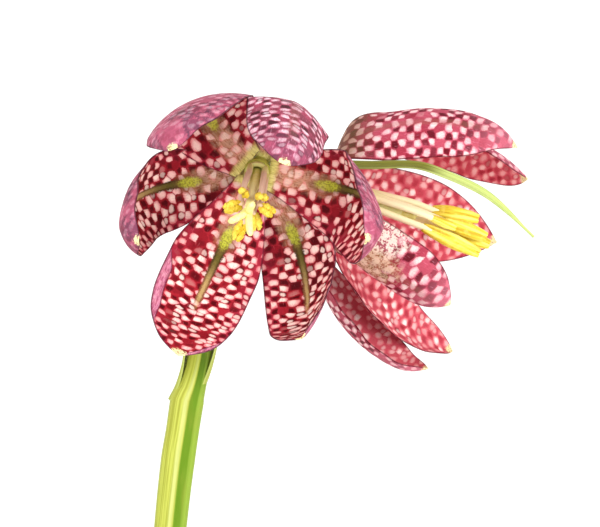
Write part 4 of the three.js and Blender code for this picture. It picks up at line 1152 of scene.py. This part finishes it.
class FRITILLARY_OT_soil(Operator):
    """Build the compost in the pot"""
    bl_idname = "fritillary.soil"
    bl_label = "Soil"

    def execute(self, context):
        wall = [
            (8, FLOOR + GAP), (POT_BASE_RADIUS - WALL - 1.6, FLOOR + GAP),
            (POT_BASE_RADIUS - WALL + 1.2, FLOOR + 2.7), (POT_SHOULDER_RADIUS - WALL - 0.4, NECK - 4),
            (RIM_RADIUS - WALL - 2.0, NECK + 2), (RIM_RADIUS - WALL - 1.35, SOIL_LEVEL - 0.6),
        ]
        hollow = [(STEM_HOLE, 70), (STEM_HOLE, 57.5), (9.9, 47), (3.4, 39.6)]
        steps = 34
        radii = [SOIL_RADIUS - (SOIL_RADIUS - STEM_HOLE) * k / steps for k in range(steps + 1)]
        angles = turns(SOIL_SIDES)
        outer, inner = ([[around(r, a, h) for a in angles] for r, h in part] for part in (wall, hollow))
        shape = Shape()
        shape.loft(outer + [[self.surface(r, a) for a in angles] for r in radii] + inner)
        self.crumbs(shape)
        shape.make("soil_crumbly", [self.finish(context.scene.fritillary_pot)], "soil", "soil")
        return {"FINISHED"}

    def surface(self, r, angle):
        """A point on the lumpy top, which is flat only round the stem."""
        p = around(r, angle)
        lumps = 0.9 * noise.noise(p * 0.16) + 0.55 * noise.noise(p * 0.45) + 0.35 * noise.noise(p * 1.1)
        p.z = SOIL_LEVEL + 1.3 * (1 - (r / 48) ** 2) + lumps * smooth(3.3, 6, r) * 0.9
        return p

    def crumbs(self, shape):
        """Crumbs of compost lying half sunk on the surface, from one seeded draw."""
        draw = random.Random(7)
        bands, sides = 5, 7
        for k in range(CRUMBS):
            r = 5.5 + 40.5 * math.sqrt(draw.random())
            a = draw.random() * 2 * math.pi
            size = 0.5 + 1.5 * draw.random() ** 3
            centre = self.surface(min(r, SOIL_RADIUS + 0.2 - size), a) + Z * (size * 0.15)
            angle = draw.random() * 6.28
            spin = turn(angle, Vector((draw.random() - 0.5, draw.random() - 0.5, 0.4)).normalized())
            stretch = Vector((1.0, 0.65 + 0.5 * draw.random(), 0.6 + 0.3 * draw.random()))
            rings = []
            for up in (math.pi * (i + 0.5) / bands - math.pi / 2 for i in range(bands)):
                ring = [around(math.cos(up), angle, math.sin(up)) for angle in turns(sides)]
                ring = [p * (size * (1 + 0.35 * noise.noise(p * 1.7 + X * k))) for p in ring]
                rings.append([centre + spin @ (p * stretch) for p in ring])
            shape.loft(rings, 0, None, [(draw.random(), 1.0, 0.0)] * (bands * sides))

    def finish(self, settings):
        finish = Finish("compost", 0.92, 0.2)
        step, where = finish.step, finish.where()
        pick, crumb, _ = finish.values("marks")
        fine = finish.cloud(where, 1.3, 5.0, 0.7)
        base = finish.coats(
            settings.soil, (step(0.45, 0.72, fine), settings.soil_light),
            (step(0.5, 0.7, finish.cloud(where, 0.10, 3.0)) * 0.35, [k * 0.5 for k in settings.soil]),
            (crumb * step(0.4, 1.0, pick) * 0.6, settings.soil_light),
            (crumb * step(0.93, 0.95, pick), (0.50, 0.47, 0.42)))
        return finish.paint(base, fine, 1.0)


class FRITILLARY_OT_bulb(Operator):
    """Build the bulb under the soil"""
    bl_idname = "fritillary.bulb"
    bl_label = "Bulb"

    def execute(self, context):
        settings = context.scene.fritillary_pot
        profile = rounded([(0.4, 0), (3.2, 0), (4.6, 0.8), (7.6, 2.6), (9.45, 6.4), (9.1, 9.6), (6.8, 12.9),
                           (4.2, 15.0), (2.6, 16), (0.4, 16)], 1.6, 4)

        def seam(angle, height):
            """The groove between the two scales."""
            deep = 0.56 * math.exp(-((math.cos(angle) / 0.16) ** 2))
            return -deep * smooth(41, 45, height) * smooth(55.5, 53, height)

        shape = Shape()
        shape.lathe([(r, h + BULB_BOTTOM) for r, h in profile], 96, seam)
        finish = Finish("bulb_scale", 0.45, 0.4)
        place = finish.values("place")
        streak = finish.strands(place, 5.0, 0.12, 3.0)
        base = finish.coats(settings.bulb, (streak, (0.60, 0.44, 0.24)),
                            (finish.step(43, 40.5, place[2]), (0.36, 0.24, 0.12)))
        shape.make("bulb_scaled", [finish.paint(base, streak, 0.5)], "bulb", "bulb")
        return {"FINISHED"}


class FRITILLARY_OT_stage(Operator):
    """Set up the floor, backdrop, lights and camera"""
    bl_idname = "fritillary.stage"
    bl_label = "Studio"

    def execute(self, context):
        settings = context.scene.fritillary_stage
        self.backdrop(settings)
        self.light("key", settings.key, (-0.55, -0.95, 0.85), 0.7)
        self.light("fill", settings.fill, (0.75, -0.70, 0.45), 0.8)
        world = bpy.data.worlds.new("surround")
        world.use_nodes = True
        surround = world.node_tree.nodes["Background"].inputs
        surround["Color"].default_value = (1, 1, 1, 1)
        surround["Strength"].default_value = settings.sky
        context.scene.world = world
        camera = bpy.data.cameras.new("camera")
        camera.lens, camera.sensor_width, camera.clip_start, camera.clip_end = settings.lens, 36, 0.01, 20
        eye = put("camera", camera)
        eye.location = CAMERA_PLACE
        eye.rotation_euler = (math.pi / 2 - settings.fall, 0, 0)
        context.scene.camera = eye
        context.scene.view_settings.view_transform = "Standard"
        return {"FINISHED"}

    def backdrop(self, settings):
        """A wide round floor that rises far out in one sweep, so no side of the plant is hidden."""
        finish = Finish("backdrop_paper", 0.9, 0.1)
        finish.feed(finish.skin, "Emission Color", (1, 1, 1, 1))
        finish.feed(finish.skin, "Emission Strength", 0.24)
        grain = finish.cloud(finish.where(), 0.3)
        lighter = [min(1, k * 1.02) for k in settings.floor]
        outline = [(0.02, 0.0), (1.2, 0.0), (FLOOR_RADIUS, 0.0)]
        for angle in (math.pi / 2 * k / 16 for k in range(1, 17)):
            reach = FLOOR_RADIUS + SWEEP_RADIUS * math.sin(angle)
            outline.append((reach, SWEEP_RADIUS * (1 - math.cos(angle))))
        outline.append((FLOOR_RADIUS + SWEEP_RADIUS, BACKDROP_HEIGHT))
        sides = 96
        faces = [tuple(range(sides))]
        for k in range(0, (len(outline) - 1) * sides, sides):
            for j in range(sides):
                n = (j + 1) % sides
                faces.append((k + j, k + sides + j, k + sides + n, k + n))
        mesh = mesh_of("backdrop", [around(r, angle, z) for r, z in outline for angle in turns(sides)], faces)
        mesh.materials.append(finish.paint(finish.coats(settings.floor, (grain * 0.2, lighter))))
        put("backdrop", mesh)

    def light(self, name, power, place, size):
        lamp = bpy.data.lights.new(name, "AREA")
        lamp.shape, lamp.size, lamp.energy = "DISK", size, power
        holder = put(name, lamp)
        holder.location = place
        holder.rotation_euler = (LIGHTS_AIM - Vector(place)).to_track_quat("-Z", "Y").to_euler()


STEPS = (
    FRITILLARY_OT_stage, FRITILLARY_OT_pot, FRITILLARY_OT_soil, FRITILLARY_OT_bulb, FRITILLARY_OT_stem,
    FRITILLARY_OT_leaves, FRITILLARY_OT_petals, FRITILLARY_OT_stamens, FRITILLARY_OT_pistils,
)
GROUPS = {
    "fritillary_petals": PetalSettings, "fritillary_greens": GreenSettings, "fritillary_heart": HeartSettings,
    "fritillary_pot": PotSettings, "fritillary_stage": StageSettings,
}


class FRITILLARY_PT_panel(Panel):
    """Lists the steps and their settings in the sidebar"""
    bl_idname = "FRITILLARY_PT_panel"
    bl_label = "Fritillary"
    bl_space_type = "VIEW_3D"
    bl_region_type = "UI"
    bl_category = "Fritillary"

    def draw(self, context):
        for step in STEPS:
            self.layout.operator(step.bl_idname)
        for label, kind in GROUPS.items():
            box = self.layout.box()
            for name in kind.__annotations__:
                box.prop(getattr(context.scene, label), name)


def register():
    for kind in (*GROUPS.values(), *STEPS, FRITILLARY_PT_panel):
        bpy.utils.register_class(kind)
    for label, kind in GROUPS.items():
        setattr(bpy.types.Scene, label, PointerProperty(type=kind))


def unregister():
    for label in GROUPS:
        delattr(bpy.types.Scene, label)
    for kind in (FRITILLARY_PT_panel, *reversed(STEPS), *GROUPS.values()):
        bpy.utils.unregister_class(kind)


def main():
    register()
    for step in STEPS:
        group, name = step.bl_idname.split(".")
        if getattr(getattr(bpy.ops, group), name)() != {"FINISHED"}:
            raise RuntimeError(f"{step.bl_label} wasn't built")


if __name__ == "__main__":
    main()
